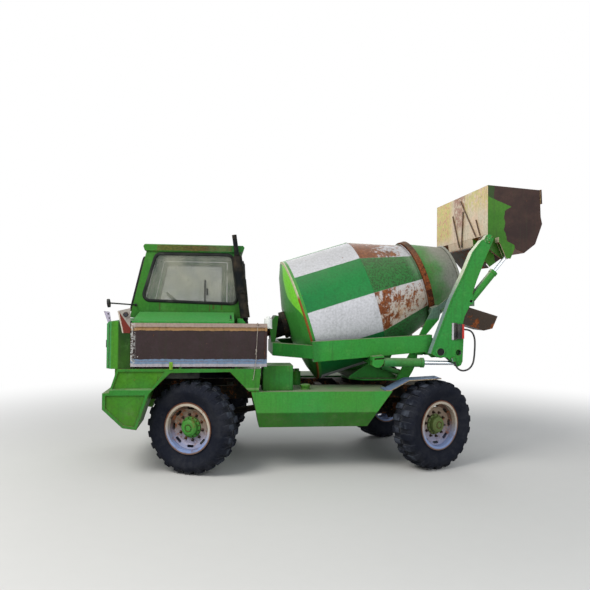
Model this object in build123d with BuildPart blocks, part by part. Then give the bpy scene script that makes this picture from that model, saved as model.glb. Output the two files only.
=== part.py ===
from build123d import *
from math import cos, hypot, radians, sin, tan
import os

os.makedirs("parts", exist_ok=True)

# Self-loading concrete mixer. Millimetres, +Z up, ground at Z = 0.
# +X is the bucket end, the windscreen faces -X, -Y is the side with the engine.
# The origin is the bottom centre of the whole machine.

# Running gear
tyre_radius = 505
axle_height = tyre_radius
tyre_half_width = 165
tread_half_width = 112
rim_seat_radius = 254
rim_flange_radius = 282
rim_half_width = 116
flange_thickness = 11
rim_wall = 12
disc_offset = 24
disc_thickness = 12
hub_radius = 92
hand_hole_count = 8
hand_hole_length = 80
hand_hole_width = 26
hand_hole_circle = 207
lug_count = 23
lug_gap = 16
lug_depth = 27
sidewall_radius = 400
bead_radius = 312
seat_clearance = 0.4
front_kingpin_x = -1468
rear_kingpin_x = 1101
kingpin_y = 638
wheel_offset = 200
parked_steer = 24.5
spindle_radius = 40
kingpin_radius = 20
pin_clearance = 0.4
axle_tube_radius = 78

# Chassis
rail_inner_y = 300
rail_outer_y = 380
rail_bottom = 740
rail_top = 890
rail_front_x = -2150
rail_rear_x = 1440
half_width = 1000
body_inner_y = 420
platform_top = 1158
tank_top = 905
tank_crease = 675
tank_bottom = 500
tank_inner_y = 455

# Cab
cab_near_y = -400
cab_far_y = 700
cab_wall = 40
cab_floor = 32
roof_bottom = 2474
roof_top = 2552
glass_thickness = 6

# Turret and tilting frame
slew_x = 592
slew_ring_radius = 318
slew_ring_top = 940
slew_gap = 0.5
base_plate_thickness = 15
turntable_top = 985
tilt_x = 1069
tilt_z = 1320
beam_inner_y = 760
beam_outer_y = 860
gusset_inner_y = 400
gusset_outer_y = 430
post_inner_y = 520
post_outer_y = 560

# Drum: distances along its axis from the closed end, and radii
drum_angle = 17.58
drum_end_x = -291
drum_end_z = 1660
drum_radius = 770
drum_wall = 10
barrel_length = 858
ring_station = 1564
ring_half_width = 32
ring_seat_radius = 540
ring_depth = 34
mouth_station = 2060
mouth_radius = 363
dome_depth = 150
dome_hub_radius = 240
roller_radius = 60
roller_angle = 57
roller_width = 90

drive_radius = 132
hopper_bottom = 1862
hopper_inner_y = 200
hopper_outer_y = 208
chute_pin_x = 1752
chute_pin_radius = 12

ring_radius = ring_seat_radius + ring_depth

# Loading arms and bucket
bucket_half_width = 855
arm_clearance = 40
arm_thickness = 100
arm_inner_y = bucket_half_width + arm_clearance
arm_outer_y = arm_inner_y + arm_thickness
cylinder_y = (arm_inner_y + arm_outer_y) / 2
arm_pivot_x = 1214
arm_pivot_z = 1343
pivot_tube_radius = 34
cross_tube_radius = 60
bucket_wall = 10
bucket_pin_x = 1774
bucket_pin_z = 2634
bucket_pin_radius = 24

drum_axis_x = cos(radians(drum_angle))
drum_axis_z = sin(radians(drum_angle))
drum_frame_plane = Plane(
    origin=(drum_end_x, 0, drum_end_z),
    x_dir=(drum_axis_x, 0, drum_axis_z),
    z_dir=(0, -1, 0),
)
drum_axis = Axis((drum_end_x, 0, drum_end_z), (drum_axis_x, 0, drum_axis_z))


def side_slab(points, y_low, y_high, mode=Mode.ADD, corner=0):
    # A plate or block whose outline is drawn in side view, between two values of Y.
    with BuildSketch(Plane.XZ.offset(-y_high)) as outline:
        with BuildLine():
            Polyline(*points, close=True)
        make_face()
        if corner:
            fillet(outline.vertices(), corner)
    extrude(outline.sketch, amount=y_high - y_low, mode=mode)


def plan_slab(points, z_low, z_high, mode=Mode.ADD):
    # A block whose outline is drawn from above, between two heights.
    with BuildSketch(Plane.XY.offset(z_low)) as outline:
        with BuildLine():
            Polyline(*points, close=True)
        make_face()
    extrude(outline.sketch, amount=z_high - z_low, mode=mode)


def block(x_low, x_high, y_low, y_high, z_low, z_high, mode=Mode.ADD):
    with Locations(((x_low + x_high) / 2, (y_low + y_high) / 2, (z_low + z_high) / 2)):
        Box(x_high - x_low, y_high - y_low, z_high - z_low, mode=mode)


def cross_pin(x, z, radius, y_low, y_high, mode=Mode.ADD):
    # A pin, tube or bore that runs across the machine.
    with BuildSketch(Plane.XZ.offset(-y_high)) as outline:
        with Locations((x, z)):
            Circle(radius)
    extrude(outline.sketch, amount=y_high - y_low, mode=mode)


def rod_between(start, end, radius, mode=Mode.ADD):
    run = Vector(*end) - Vector(*start)
    with BuildSketch(Plane(origin=start, z_dir=run)) as outline:
        Circle(radius)
    extrude(outline.sketch, amount=run.length, mode=mode)


def turned(plane, axis, points, mode=Mode.ADD):
    # A turned shape from its half section.
    with BuildSketch(plane) as outline:
        with BuildLine():
            Polyline(*points, close=True)
        make_face()
    revolve(outline.sketch, axis=axis, mode=mode)


def cross_plane(station):
    # Plane square to the drum's axis: X across the machine, Y away from the axis, upwards.
    centre = (drum_end_x + drum_axis_x * station, 0, drum_end_z + drum_axis_z * station)
    return Plane(origin=centre, x_dir=(0, 1, 0), z_dir=(drum_axis_x, 0, drum_axis_z))


def cord(route, diameter, name):
    # A cord's plain tube: straight runs joined by arcs as large as the runs allow.
    radii = []
    for before, corner, after in zip(route, route[1:], route[2:]):
        arriving = Vector(*corner) - Vector(*before)
        leaving = Vector(*after) - Vector(*corner)
        shorter = min(arriving.length, leaving.length)
        radii.append(0.45 * shorter / tan(radians(arriving.get_angle(leaving) / 2)))
    with BuildLine() as path:
        FilletPolyline(*route, radius=radii)
    with BuildPart() as tube:
        start = Plane(origin=route[0], z_dir=Vector(*route[1]) - Vector(*route[0]))
        with BuildSketch(start) as section:
            Circle(diameter / 2)
        sweep(section.sketch, path=path.line)
    tube.part.label = name
    export_step(tube.part, f"parts/{name}.step")
    length = sum(edge.length for edge in path.edges())
    print(name, "radii", [round(radius) for radius in radii], "length", round(length))
    print(name, "volume over section times length", tube.part.volume / (section.sketch.area * length))


def along(start, end, distance):
    run = Vector(*end) - Vector(*start)
    spot = Vector(*start) + run.normalized() * distance
    return (spot.X, spot.Y, spot.Z)


# Tyre with two staggered rows of lugs, its axle along X and a flat under each lug and gap
facet_turn = 180 / lug_count


def lug_ring(reach, foot, top, turn):
    # Outline across the axle: lugs up to one radius, with gaps down to another.
    points = []
    for count in range(lug_count):
        middle = turn + 2 * facet_turn * count
        low = radians(middle - facet_turn / 2)
        high = radians(middle + facet_turn / 2)
        for radius, angle in ((foot, low), (top, low), (top, high), (foot, high)):
            points.append((radius * cos(angle), radius * sin(angle)))
    with BuildSketch(Plane.YZ.offset(reach)) as outline:
        with BuildLine():
            Polyline(*points, close=True)
        make_face()
    return outline.sketch


def facet_ring(reach, radius):
    # Plain ring of flats that meets the lug ring's feet.
    with BuildSketch(Plane.YZ.offset(reach)) as outline:
        RegularPolygon(radius, 2 * lug_count, rotation=facet_turn / 2)
    return outline.sketch


carcass_radius = tyre_radius - lug_depth
shoulder_foot = carcass_radius - 54
# reach from the middle plane, radius between the lugs, radius of the lugs
lug_sections = [
    (lug_gap / 2, carcass_radius, tyre_radius),
    (tread_half_width + 6, carcass_radius - 4, tyre_radius - 6),
    (tyre_half_width - 4, shoulder_foot, shoulder_foot + 8),
]
with BuildPart() as blank:
    extrude(facet_ring(-lug_gap / 2, carcass_radius), amount=lug_gap)
    for side, turn in ((-1, 0), (1, facet_turn)):
        loft([lug_ring(side * reach, foot, top, turn) for reach, foot, top in lug_sections], ruled=True)
        widest = facet_ring(side * tyre_half_width, sidewall_radius)
        loft([facet_ring(side * lug_sections[-1][0], shoulder_foot), widest], ruled=True)
        # Hollow between the sidewall's widest ring and the bead
        bead = facet_ring(side * rim_half_width, bead_radius)
        loft([widest, bead], ruled=True, mode=Mode.SUBTRACT)
    bore = facet_ring(-rim_half_width, (rim_seat_radius + seat_clearance) / cos(radians(facet_turn / 2)))
    extrude(bore, amount=2 * rim_half_width, mode=Mode.SUBTRACT)
blank_tyre = blank.part.moved(Location((wheel_offset, 0, 0)))

# Wheels with their knuckles
# name, kingpin X, side, parked steering angle about +Z
corners = [
    ("front_left", front_kingpin_x, -1, -parked_steer),
    ("front_right", front_kingpin_x, 1, -parked_steer),
    ("rear_left", rear_kingpin_x, -1, parked_steer),
    ("rear_right", rear_kingpin_x, 1, parked_steer),
]

for name, kingpin_x, side, steer in corners:
    kingpin = (kingpin_x, side * kingpin_y, axle_height)
    outboard = (-side * sin(radians(steer)), side * cos(radians(steer)), 0)
    # X of this plane runs outboard from the kingpin, Y is the radius above the axle.
    wheel_plane = Plane(
        origin=kingpin,
        x_dir=outboard,
        z_dir=Vector(*outboard).cross(Vector(0, 0, 1)),
    )
    wheel_axis = Axis(kingpin, outboard)
    middle = wheel_offset
    rim_in = middle - rim_half_width
    rim_out = middle + rim_half_width

    tyre = blank_tyre.moved(wheel_plane.location)
    tyre.label = f"tyre_{name}"
    export_step(tyre, f"parts/tyre_{name}.step")

    with BuildPart() as rim:
        turned(
            wheel_plane,
            wheel_axis,
            [
                (rim_in - flange_thickness, rim_seat_radius - rim_wall),
                (rim_in - flange_thickness, rim_flange_radius),
                (rim_in, rim_flange_radius),
                (rim_in, rim_seat_radius),
                (rim_out, rim_seat_radius),
                (rim_out, rim_flange_radius),
                (rim_out + flange_thickness, rim_flange_radius),
                (rim_out + flange_thickness, rim_seat_radius - rim_wall),
            ],
        )
        # Dished disc, with the planetary hub in its middle
        turned(
            wheel_plane,
            wheel_axis,
            [
                (middle + disc_offset, 60),
                (middle + disc_offset, 186),
                (middle + disc_offset + 34, rim_seat_radius - rim_wall - 6),
                (middle + disc_offset + 34, rim_seat_radius - rim_wall + 2),
                (middle + disc_offset + 46, rim_seat_radius - rim_wall + 2),
                (middle + disc_offset + 46, rim_seat_radius - rim_wall - 6),
                (middle + disc_offset + disc_thickness, 180),
                (middle + disc_offset + disc_thickness, 60),
            ],
        )
        hole_plane = Plane(
            origin=wheel_plane.from_local_coords(Vector(middle, 0, 0)),
            x_dir=(0, 0, 1),
            z_dir=outboard,
        )
        with BuildSketch(hole_plane) as holes:
            with PolarLocations(hand_hole_circle, hand_hole_count):
                SlotOverall(hand_hole_length, hand_hole_width, rotation=90)
        extrude(holes.sketch, amount=rim_half_width, mode=Mode.SUBTRACT)
        # Planetary hub
        turned(
            wheel_plane,
            wheel_axis,
            [
                (middle + disc_offset - 6, spindle_radius + pin_clearance),
                (middle + disc_offset - 6, 120),
                (middle + disc_offset, 120),
                (middle + disc_offset, 60),
                (middle + disc_offset + disc_thickness, 60),
                (middle + disc_offset + disc_thickness, hub_radius + 22),
                (middle + disc_offset + 26, hub_radius + 22),
                (middle + disc_offset + 30, hub_radius),
                (middle + disc_offset + 72, hub_radius - 6),
                (middle + disc_offset + 84, hub_radius - 26),
                (middle + disc_offset + 90, 0),
                (middle + disc_offset + 40, 0),
                (middle + disc_offset + 40, spindle_radius + pin_clearance),
            ],
        )
    rim.part.label = f"wheel_{name}"
    export_step(rim.part, f"parts/wheel_{name}.step")

    with BuildPart() as knuckle:
        turned(
            wheel_plane,
            wheel_axis,
            [
                (0, 0),
                (0, 62),
                (46, 96),
                (52, 138),
                (middle + disc_offset - 14, 138),
                (middle + disc_offset - 14, spindle_radius),
                (middle + disc_offset + 36, spindle_radius),
                (middle + disc_offset + 36, 0),
            ],
        )
        with Locations(kingpin):
            Cylinder(46, 296)
            Cylinder(kingpin_radius, 380)
    knuckle.part.label = f"knuckle_{name}"
    export_step(knuckle.part, f"parts/knuckle_{name}.step")

# Axles: beam, differential, and a fork at each end for the kingpins
# name, kingpin X, half widths of the pad that meets the chassis
axles = [
    ("front_axle", front_kingpin_x, 70, 150),
    ("rear_axle", rear_kingpin_x, 60, rail_outer_y),
]
fork_root_y = 532
fork_tip_y = 684
fork_half_length = 45
fork_gap = 154
fork_thickness = 30

for name, kingpin_x, pad_half_x, pad_half_y in axles:
    with BuildPart() as axle:
        rod_between(
            (kingpin_x, -fork_root_y - 10, axle_height),
            (kingpin_x, fork_root_y + 10, axle_height),
            axle_tube_radius,
        )
        with Locations((kingpin_x, 0, axle_height)):
            Sphere(172)
        rod_between((kingpin_x - 215, 0, axle_height), (kingpin_x + 215, 0, axle_height), 62)
        for side in (-1, 1):
            near, far = sorted((side * fork_root_y, side * (fork_root_y + 26)))
            block(
                kingpin_x - 70,
                kingpin_x + 70,
                near,
                far,
                axle_height - fork_gap - fork_thickness,
                axle_height + fork_gap + fork_thickness,
            )
            near, far = sorted((side * fork_root_y, side * fork_tip_y))
            for level in (fork_gap, -fork_gap - fork_thickness):
                block(
                    kingpin_x - fork_half_length,
                    kingpin_x + fork_half_length,
                    near,
                    far,
                    axle_height + level,
                    axle_height + level + fork_thickness,
                )
            with Locations((kingpin_x, side * kingpin_y, axle_height)):
                Cylinder(kingpin_radius + pin_clearance, 420, mode=Mode.SUBTRACT)
        if pad_half_y > 200:
            for side in (-1, 1):
                near, far = sorted((side * rail_inner_y, side * rail_outer_y))
                block(kingpin_x - 60, kingpin_x + 60, near, far, axle_height, rail_bottom)
        else:
            block(kingpin_x - 70, kingpin_x + 70, -130, 130, axle_height + 120, rail_bottom)
    axle.part.label = name
    export_step(axle.part, f"parts/{name}.step")

# Chassis frame
cross_members = [-2150, -1528, -1180, -620, -60, 330, 1041, 1360]
outrigger_x = [-700, -200, 300]
outrigger_width = 70
cab_post_x = [-2120, -1090]

with BuildPart() as chassis:
    for side in (-1, 1):
        near, far = sorted((side * rail_inner_y, side * rail_outer_y))
        block(rail_front_x, rail_rear_x, near, far, rail_bottom, rail_top)
        near, far = sorted((side * rail_outer_y, side * body_inner_y))
        block(-2145, -2075, near, far, 780, 860)
        near, far = sorted((side * rail_outer_y, side * tank_inner_y))
        for x in outrigger_x:
            block(x, x + outrigger_width, near, far, 780, 860)
        near, far = sorted((side * rail_inner_y, side * rail_outer_y))
        for x in cab_post_x:
            block(x, x + 80, near, far, rail_top, platform_top)
    for x in cross_members:
        block(x, x + 80, -rail_inner_y, rail_inner_y, rail_bottom, rail_bottom + 110)
    # Deck under the slewing ring
    block(200, rail_rear_x, -rail_outer_y, rail_outer_y, rail_top - 15, rail_top)
    # Fixed half of the slewing ring
    with Locations((slew_x, 0, rail_top)):
        Cylinder(slew_ring_radius, slew_ring_top - rail_top, align=(Align.CENTER, Align.CENTER, Align.MIN))
chassis.part.label = "chassis_frame"
export_step(chassis.part, "parts/chassis_frame.step")

# Front bodywork over the wheels, the same outline on both sides
body_outline = [
    (-2495, 900),
    (-2495, 730),
    (-2283, 530),
    (-2137, 507),
    (-2012, 890),
    (-1791, 1114),
    (-1150, 1123),
    (-944, 912),
    (-835, 910),
    (-813, platform_top),
    (-2345, platform_top),
    (-2428, 904),
]
upper_recess = [(-2330, 1128), (-1850, 1128), (-1985, 945), (-2392, 945)]
lower_recess = [(-2462, 875), (-2462, 742), (-2272, 560), (-2158, 540), (-2052, 875)]
recess_depth = 14

tow_pin_radius = 16
tow_pin_x = -2498

for name, side in (("front_body_left", -1), ("front_body_right", 1)):
    with BuildPart() as body_side:
        near, far = sorted((side * body_inner_y, side * half_width))
        side_slab(body_outline, near, far)
        near, far = sorted((side * (half_width - recess_depth), side * (half_width + 5)))
        side_slab(upper_recess, near, far, mode=Mode.SUBTRACT)
        side_slab(lower_recess, near, far, mode=Mode.SUBTRACT)
    body_side.part.label = name
    export_step(body_side.part, f"parts/{name}.step")

# Panel between the two sides, with the towing clevis on it
with BuildPart() as front_panel:
    block(-2470, -2420, -body_inner_y, body_inner_y, 560, platform_top)
    block(-2425, rail_front_x, -rail_outer_y + 40, rail_outer_y - 40, rail_bottom, rail_top)
    for z in (600, 680):
        block(-2525, -2470, -45, 45, z, z + 22)
    with Locations((tow_pin_x, 0, 650)):
        Cylinder(tow_pin_radius, 200, mode=Mode.SUBTRACT)
front_panel.part.label = "front_panel"
export_step(front_panel.part, "parts/front_panel.step")

# Side tanks between the wheels
tank_outline = [
    (-917, tank_top),
    (-857, tank_crease),
    (-824, tank_bottom),
    (396, tank_bottom),
    (488, tank_crease),
    (660, tank_top),
]
tank_tuck = 105

with BuildPart() as tanks:
    for side in (-1, 1):
        near, far = sorted((side * tank_inner_y, side * half_width))
        side_slab(tank_outline, near, far)
        # The lower half of the outer wall tucks inwards
        with BuildSketch(Plane.YZ.offset(-1000)) as tuck:
            with BuildLine():
                Polyline(
                    (side * half_width, tank_crease),
                    (side * (half_width + 20), tank_crease),
                    (side * (half_width + 20), tank_bottom - 10),
                    (side * (half_width - tank_tuck), tank_bottom - 10),
                    close=True,
                )
            make_face()
        extrude(tuck.sketch, amount=2000, mode=Mode.SUBTRACT)
tanks.part.label = "side_tanks"
export_step(tanks.part, "parts/side_tanks.step")

# Rear fenders: one bent plate each, lying on the end of the tank
fender_thickness = 12
fender_line = [(584, tank_top), (640, tank_top), (850, 1016), (1223, 1036)]
fender_outline = fender_line + [(x, z + fender_thickness) for x, z in reversed(fender_line)]
fender_inner_y = 760

with BuildPart() as fenders:
    for side in (-1, 1):
        near, far = sorted((side * fender_inner_y, side * half_width))
        side_slab(fender_outline, near, far)
fenders.part.label = "rear_fenders"
export_step(fenders.part, "parts/rear_fenders.step")

# Engine, gearbox and shafts
with BuildPart() as gearbox:
    block(-2080, -1250, -900, -470, platform_top, 1560)
    block(-420, -75, -150, 150, 560, rail_bottom - 4)
    block(-420, -350, -rail_inner_y, rail_inner_y, rail_bottom - 40, rail_bottom + 20)
    rod_between((front_kingpin_x + 221, 0, axle_height), (-415, 0, 620), 38)
    rod_between((-80, 0, 620), (rear_kingpin_x - 221, 0, axle_height), 38)
gearbox.part.label = "drive_line"
export_step(gearbox.part, "parts/drive_line.step")

# Cab shell: floor, walls and roof frame, with the windows and the door opening cut
cab_outline = [
    (-2200, platform_top),
    (-2200, 1692),
    (-2314, 1692),
    (-2132, roof_bottom),
    (-1040, roof_bottom),
    (-969, 1660),
    (-952, platform_top),
]
cab_inside = [
    (-2160, platform_top + cab_floor),
    (-2160, 1732),
    (-2264, 1732),
    (-2100, roof_bottom - 30),
    (-1078, roof_bottom - 30),
    (-1009, 1660),
    (-992, platform_top + cab_floor),
]
near_window = [(-2018, 2440), (-1134, 2440), (-1063, 1861), (-2178, 1896)]
door_outline = [(-2040, 2425), (-1190, 2425), (-1190, 1235), (-2110, 1235), (-2150, 1900)]
door_window = [(-2000, 2380), (-1250, 2380), (-1250, 1800), (-2095, 1800), (-2105, 1900)]
windscreen_centre = (-2223, 150, 2083)
windscreen_lean = 13.1
rear_window_centre = (-1007, 150, 2130)
rear_lean = -5.0
windscreen_size = (940, 640)
rear_window_size = (860, 480)


def pane_plane(centre, lean, facing):
    # Plane of a front or rear window: X across the machine, Y up the glass.
    up = (sin(radians(lean)), 0, cos(radians(lean)))
    outward = (facing * cos(radians(lean)), 0, -facing * sin(radians(lean)))
    across = Vector(*up).cross(Vector(*outward))
    return Plane(origin=centre, x_dir=across, z_dir=outward)


screen_plane = pane_plane(windscreen_centre, windscreen_lean, -1)
rear_plane = pane_plane(rear_window_centre, rear_lean, 1)

with BuildPart() as cab:
    side_slab(cab_outline, cab_near_y, cab_far_y)
    side_slab(cab_inside, cab_near_y + cab_wall, cab_far_y - cab_wall, mode=Mode.SUBTRACT)
    side_slab(near_window, cab_near_y - 5, cab_near_y + cab_wall + 5, Mode.SUBTRACT, 70)
    side_slab(door_outline, cab_far_y - cab_wall - 5, cab_far_y + 5, Mode.SUBTRACT, 30)
    for plane, size in ((screen_plane, windscreen_size), (rear_plane, rear_window_size)):
        with BuildSketch(plane) as opening:
            RectangleRounded(*size, 60)
        extrude(opening.sketch, amount=90, both=True, mode=Mode.SUBTRACT)
cab.part.label = "cab_shell"
export_step(cab.part, "parts/cab_shell.step")

with BuildPart() as glass:
    side_slab(near_window, cab_near_y + 10, cab_near_y + 10 + glass_thickness, corner=70)
    for plane, size in ((screen_plane, windscreen_size), (rear_plane, rear_window_size)):
        with BuildSketch(plane) as pane:
            RectangleRounded(*size, 60)
        extrude(pane.sketch, amount=-glass_thickness)
glass.part.label = "cab_glass"
export_step(glass.part, "parts/cab_glass.step")

roof_outline = [
    (-2150, roof_bottom),
    (-2168, roof_top - 26),
    (-2150, roof_top),
    (-1010, roof_top),
    (-992, roof_top - 26),
    (-1012, roof_bottom),
]
with BuildPart() as roof:
    side_slab(roof_outline, cab_near_y - 22, cab_far_y + 22)
    fillet(roof.edges().group_by(Axis.Z)[-1], 12)
roof.part.label = "cab_roof"
export_step(roof.part, "parts/cab_roof.step")

# Door in the far wall, hinged on its rear edge
door_gap = 6
with BuildPart() as door:
    with BuildSketch(Plane.XZ.offset(-cab_far_y)) as outline:
        with BuildLine():
            Polyline(*door_outline, close=True)
        make_face()
        fillet(outline.vertices(), 30)
        offset(amount=-door_gap, mode=Mode.REPLACE)
    extrude(outline.sketch, amount=34)
    side_slab(door_window, cab_far_y - 60, cab_far_y + 5, Mode.SUBTRACT, 50)
    block(-2060, -1930, cab_far_y, cab_far_y + 22, 1700, 1724)
    for z in (1330, 2280):
        with Locations((-1180, cab_far_y + 12.5, z)):
            Cylinder(12, 90)
        block(-1240, -1180, cab_far_y, cab_far_y + 8, z - 40, z + 40)
door.part.label = "cab_door"
export_step(door.part, "parts/cab_door.step")

with BuildPart() as door_glass:
    side_slab(door_window, cab_far_y - 20, cab_far_y - 20 + glass_thickness, corner=50)
door_glass.part.label = "cab_door_glass"
export_step(door_glass.part, "parts/cab_door_glass.step")

# Inside the cab
with BuildPart() as seat:
    block(-1540, -1200, -80, 300, platform_top + cab_floor, 1480)
    block(-1590, -1130, -110, 350, 1480, 1600)
    side_slab([(-1170, 1600), (-1050, 1600), (-1030, 2090), (-1100, 2090)], -90, 330)
seat.part.label = "seat"
export_step(seat.part, "parts/seat.step")

steering_centre = (-1800, 110, 1860)
column_foot = (-1960, 110, 1684)
with BuildPart() as dash:
    side_slab([(-2200 + cab_wall, 1440), (-1960, 1440), (-1930, 1780), (-2130, 1860), (-2160, 1732)],
              cab_near_y + cab_wall, cab_far_y - cab_wall - 240)
    block(-2090, -1990, 60, 160, platform_top + cab_floor, 1440)
    rod_between(column_foot, steering_centre, 20)
    ring_plane = Plane(origin=steering_centre, z_dir=(145, 0, 160))
    with BuildSketch(Plane(origin=steering_centre, x_dir=(0, 1, 0), z_dir=(160, 0, -145))) as wire:
        with Locations((190, 0)):
            Circle(13)
    revolve(wire.sketch, axis=Axis(steering_centre, (145, 0, 160)))
    for turn in (0, 120, 240):
        with BuildSketch(ring_plane.rotated((0, 0, turn))) as spoke:
            with Locations((95, 0)):
                Rectangle(190, 26)
        extrude(spoke.sketch, amount=8, both=True)
dash.part.label = "dashboard"
export_step(dash.part, "parts/dashboard.step")

# String that hangs down the side panel, from its eye
string_diameter = 5
string_route = [
    (-857, -1006, 1638),
    (-858, -1006, 1572),
    (-862, -1006, 1500),
    (-863, -1006, 1430),
    (-868, -1006, 1362),
    (-867, -1006, 1295),
    (-873, -1006, 1226),
    (-882, -1006, 1160),
    (-890, -1006, 1096),
    (-901, -1006, 1036),
]
cord(string_route, string_diameter, "tie_string")

# Engine bay beside the cab: end walls, posts, lid and the tied-on side panel
panel_left_x = -2208
panel_right_x = -751
panel_gap = 3
bay_front_x = panel_left_x + panel_gap
bay_rear_x = -980
hood_rear_x = panel_left_x - panel_gap
lid_near_z = 1650
stack_foot = (-962, -478, 1600)
stack_tip = (-1117, -478, 2672)
lid_cab_z = 1740
bay_y = -958
with BuildPart() as bay:
    block(bay_front_x, bay_front_x + 25, bay_y, cab_near_y - 2, platform_top, 1640)
    side_slab([(bay_rear_x - 90, platform_top), (bay_rear_x + 60, platform_top),
               (bay_rear_x + 40, 1600), (bay_rear_x - 30, 1690), (bay_rear_x - 90, 1690)],
              -560, cab_near_y - 2)
    block(bay_rear_x - 90, bay_rear_x - 65, bay_y, -560, platform_top, 1640)
    for x in (-1700, -1100, -780):
        block(x, x + 30, bay_y - 20, bay_y + 20, platform_top, 1630)
    block(bay_front_x, -750, bay_y - 20, bay_y, 1600, 1630)
    rod_between(stack_foot, stack_tip, 28, mode=Mode.SUBTRACT)
    rod_between(along(stack_foot, stack_tip, 98), stack_tip, 58, mode=Mode.SUBTRACT)
bay.part.label = "engine_bay"
export_step(bay.part, "parts/engine_bay.step")

lid_hinge_y = cab_near_y - 14
lid_hinge_z = lid_cab_z + 10
lid_plane_points = [(bay_y - 20, lid_near_z - 4), (bay_y - 20, lid_near_z + 18),
                    (lid_hinge_y, lid_cab_z + 20), (lid_hinge_y, lid_cab_z)]
with BuildPart() as lid:
    with BuildSketch(Plane.YZ.offset(-2200)) as section:
        with BuildLine():
            Polyline(*lid_plane_points, close=True)
        make_face()
    extrude(section.sketch, amount=1090)
    with Locations((-1150, -900, 1682)):
        Box(24, 70, 22)
    rod_between((-2180, lid_hinge_y, lid_hinge_z), (-1160, lid_hinge_y, lid_hinge_z), 9)
lid.part.label = "engine_lid"
export_step(lid.part, "parts/engine_lid.step")

with BuildPart() as panel:
    block(panel_left_x + 20, panel_right_x - 20, -990, -980, 1235, 1610)
    block(panel_left_x, panel_right_x, -1000, -978, 1607, 1650)
    block(panel_left_x, panel_right_x, -1000, -978, 1180, 1238)
    block(panel_left_x, panel_left_x + 24, -1000, -978, 1238, 1607)
    block(panel_right_x - 24, panel_right_x, -1000, -978, 1238, 1607)
    # Eye that the string is tied to
    block(string_route[0][0] - 6, string_route[0][0] + 6, -1010, -1000, string_route[0][2], 1658)
panel.part.label = "engine_side_panel"
export_step(panel.part, "parts/engine_side_panel.step")

with BuildPart() as nose:
    with BuildSketch(Plane.XY.offset(platform_top)) as footprint:
        with BuildLine():
            Polyline((hood_rear_x, -985), (-2410, -985), (-2471, -915), (-2471, 915), (-2410, 985),
                     (hood_rear_x, 985), close=True)
        make_face()
    extrude(footprint.sketch, amount=510)
    block(-2441, -2200, -955, 955, platform_top - 5, platform_top + 480, mode=Mode.SUBTRACT)
    side_slab([(-2480, 1690), (-2480, 1630), (-2440, 1662), (-2205, 1690)], -1000, 1000,
              mode=Mode.SUBTRACT)
nose.part.label = "front_hood"
export_step(nose.part, "parts/front_hood.step")

# Striped plate with its lamp, a bracket plate, and the mirror on its rod
hood_side_y = -985
plate_outline = [(-2350, 1775), (-2215, 1808), (-2215, 1540), (-2298, 1540)]
bracket_outline = [(-2503, 1773), (-2440, 1764), (-2425, 1663.8), (-2440, 1662), (-2458, 1647.6)]
mirror_tip = (-2433, -970, 1859)
with BuildPart() as plates:
    side_slab(plate_outline, hood_side_y - 4, hood_side_y)
    cross_pin(-2262, 1738, 26, hood_side_y - 30, hood_side_y - 4)
    side_slab(bracket_outline, -934, -930)
    rod_between(mirror_tip, (-2245, cab_near_y - 3, 1838), 8)
    cross_pin(-2245, 1838, 16, cab_near_y - 8, cab_near_y)
    rod_between(mirror_tip, (-2457, -970, 1856), 46)
plates.part.label = "nose_plates"
export_step(plates.part, "parts/nose_plates.step")

with BuildPart() as stack:
    rod_between(stack_foot, stack_tip, 27)
    rod_between(along(stack_foot, stack_tip, 100), along(stack_foot, stack_tip, 830), 56)
    rod_between(along(stack_foot, stack_tip, 1000), along(stack_foot, stack_tip, 1100), 20,
                mode=Mode.SUBTRACT)
stack.part.label = "exhaust_stack"
export_step(stack.part, "parts/exhaust_stack.step")

filler_x = -345
filler_y = -(rail_inner_y + rail_outer_y) / 2
filler_radius = 46
filler_height = 168
with BuildPart() as box:
    block(-790, -450, -900, -560, tank_top, 1180)
    fillet(box.edges().filter_by(Axis.Z), 12)
    # Filler neck that stands on the frame rail
    with Locations((filler_x, filler_y, rail_top)):
        Cylinder(filler_radius, filler_height, align=(Align.CENTER, Align.CENTER, Align.MIN))
    with Locations((filler_x, filler_y, rail_top + filler_height)):
        Cylinder(filler_radius - 16, 30, align=(Align.CENTER, Align.CENTER, Align.MIN))
box.part.label = "tool_box"
export_step(box.part, "parts/tool_box.step")

with BuildPart() as bottle:
    with Locations((-735, -888, 1600)):
        Cylinder(44, 105, align=(Align.CENTER, Align.CENTER, Align.MIN))
    with Locations((-735, -888, 1705)):
        Cylinder(20, 22, align=(Align.CENTER, Align.CENTER, Align.MIN))
    block(-785, -690, bay_y + 20, -845, 1594, 1600)
bottle.part.label = "fluid_bottle"
export_step(bottle.part, "parts/fluid_bottle.step")

# Turret that turns on the slewing ring
base_plan = [
    (275, -gusset_outer_y),
    (275, gusset_outer_y),
    (420, post_outer_y),
    (968, post_outer_y),
    (968, -post_outer_y),
    (420, -post_outer_y),
]
gusset_outline = [
    (275, turntable_top),
    (290, 1012),
    (539, 1177),
    (600, 1177),
    (860, 1010),
    (860, turntable_top),
]
post_outline = [
    (830, turntable_top),
    (1014, 1320),
    (1030, 1368),
    (1108, 1368),
    (1086, 1278),
    (1076, 1180),
    (1020, 1064),
    (968, turntable_top),
]
tilt_foot = (965, 1025)
tilt_head = (600, 1148)
tilt_y = 490

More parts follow.
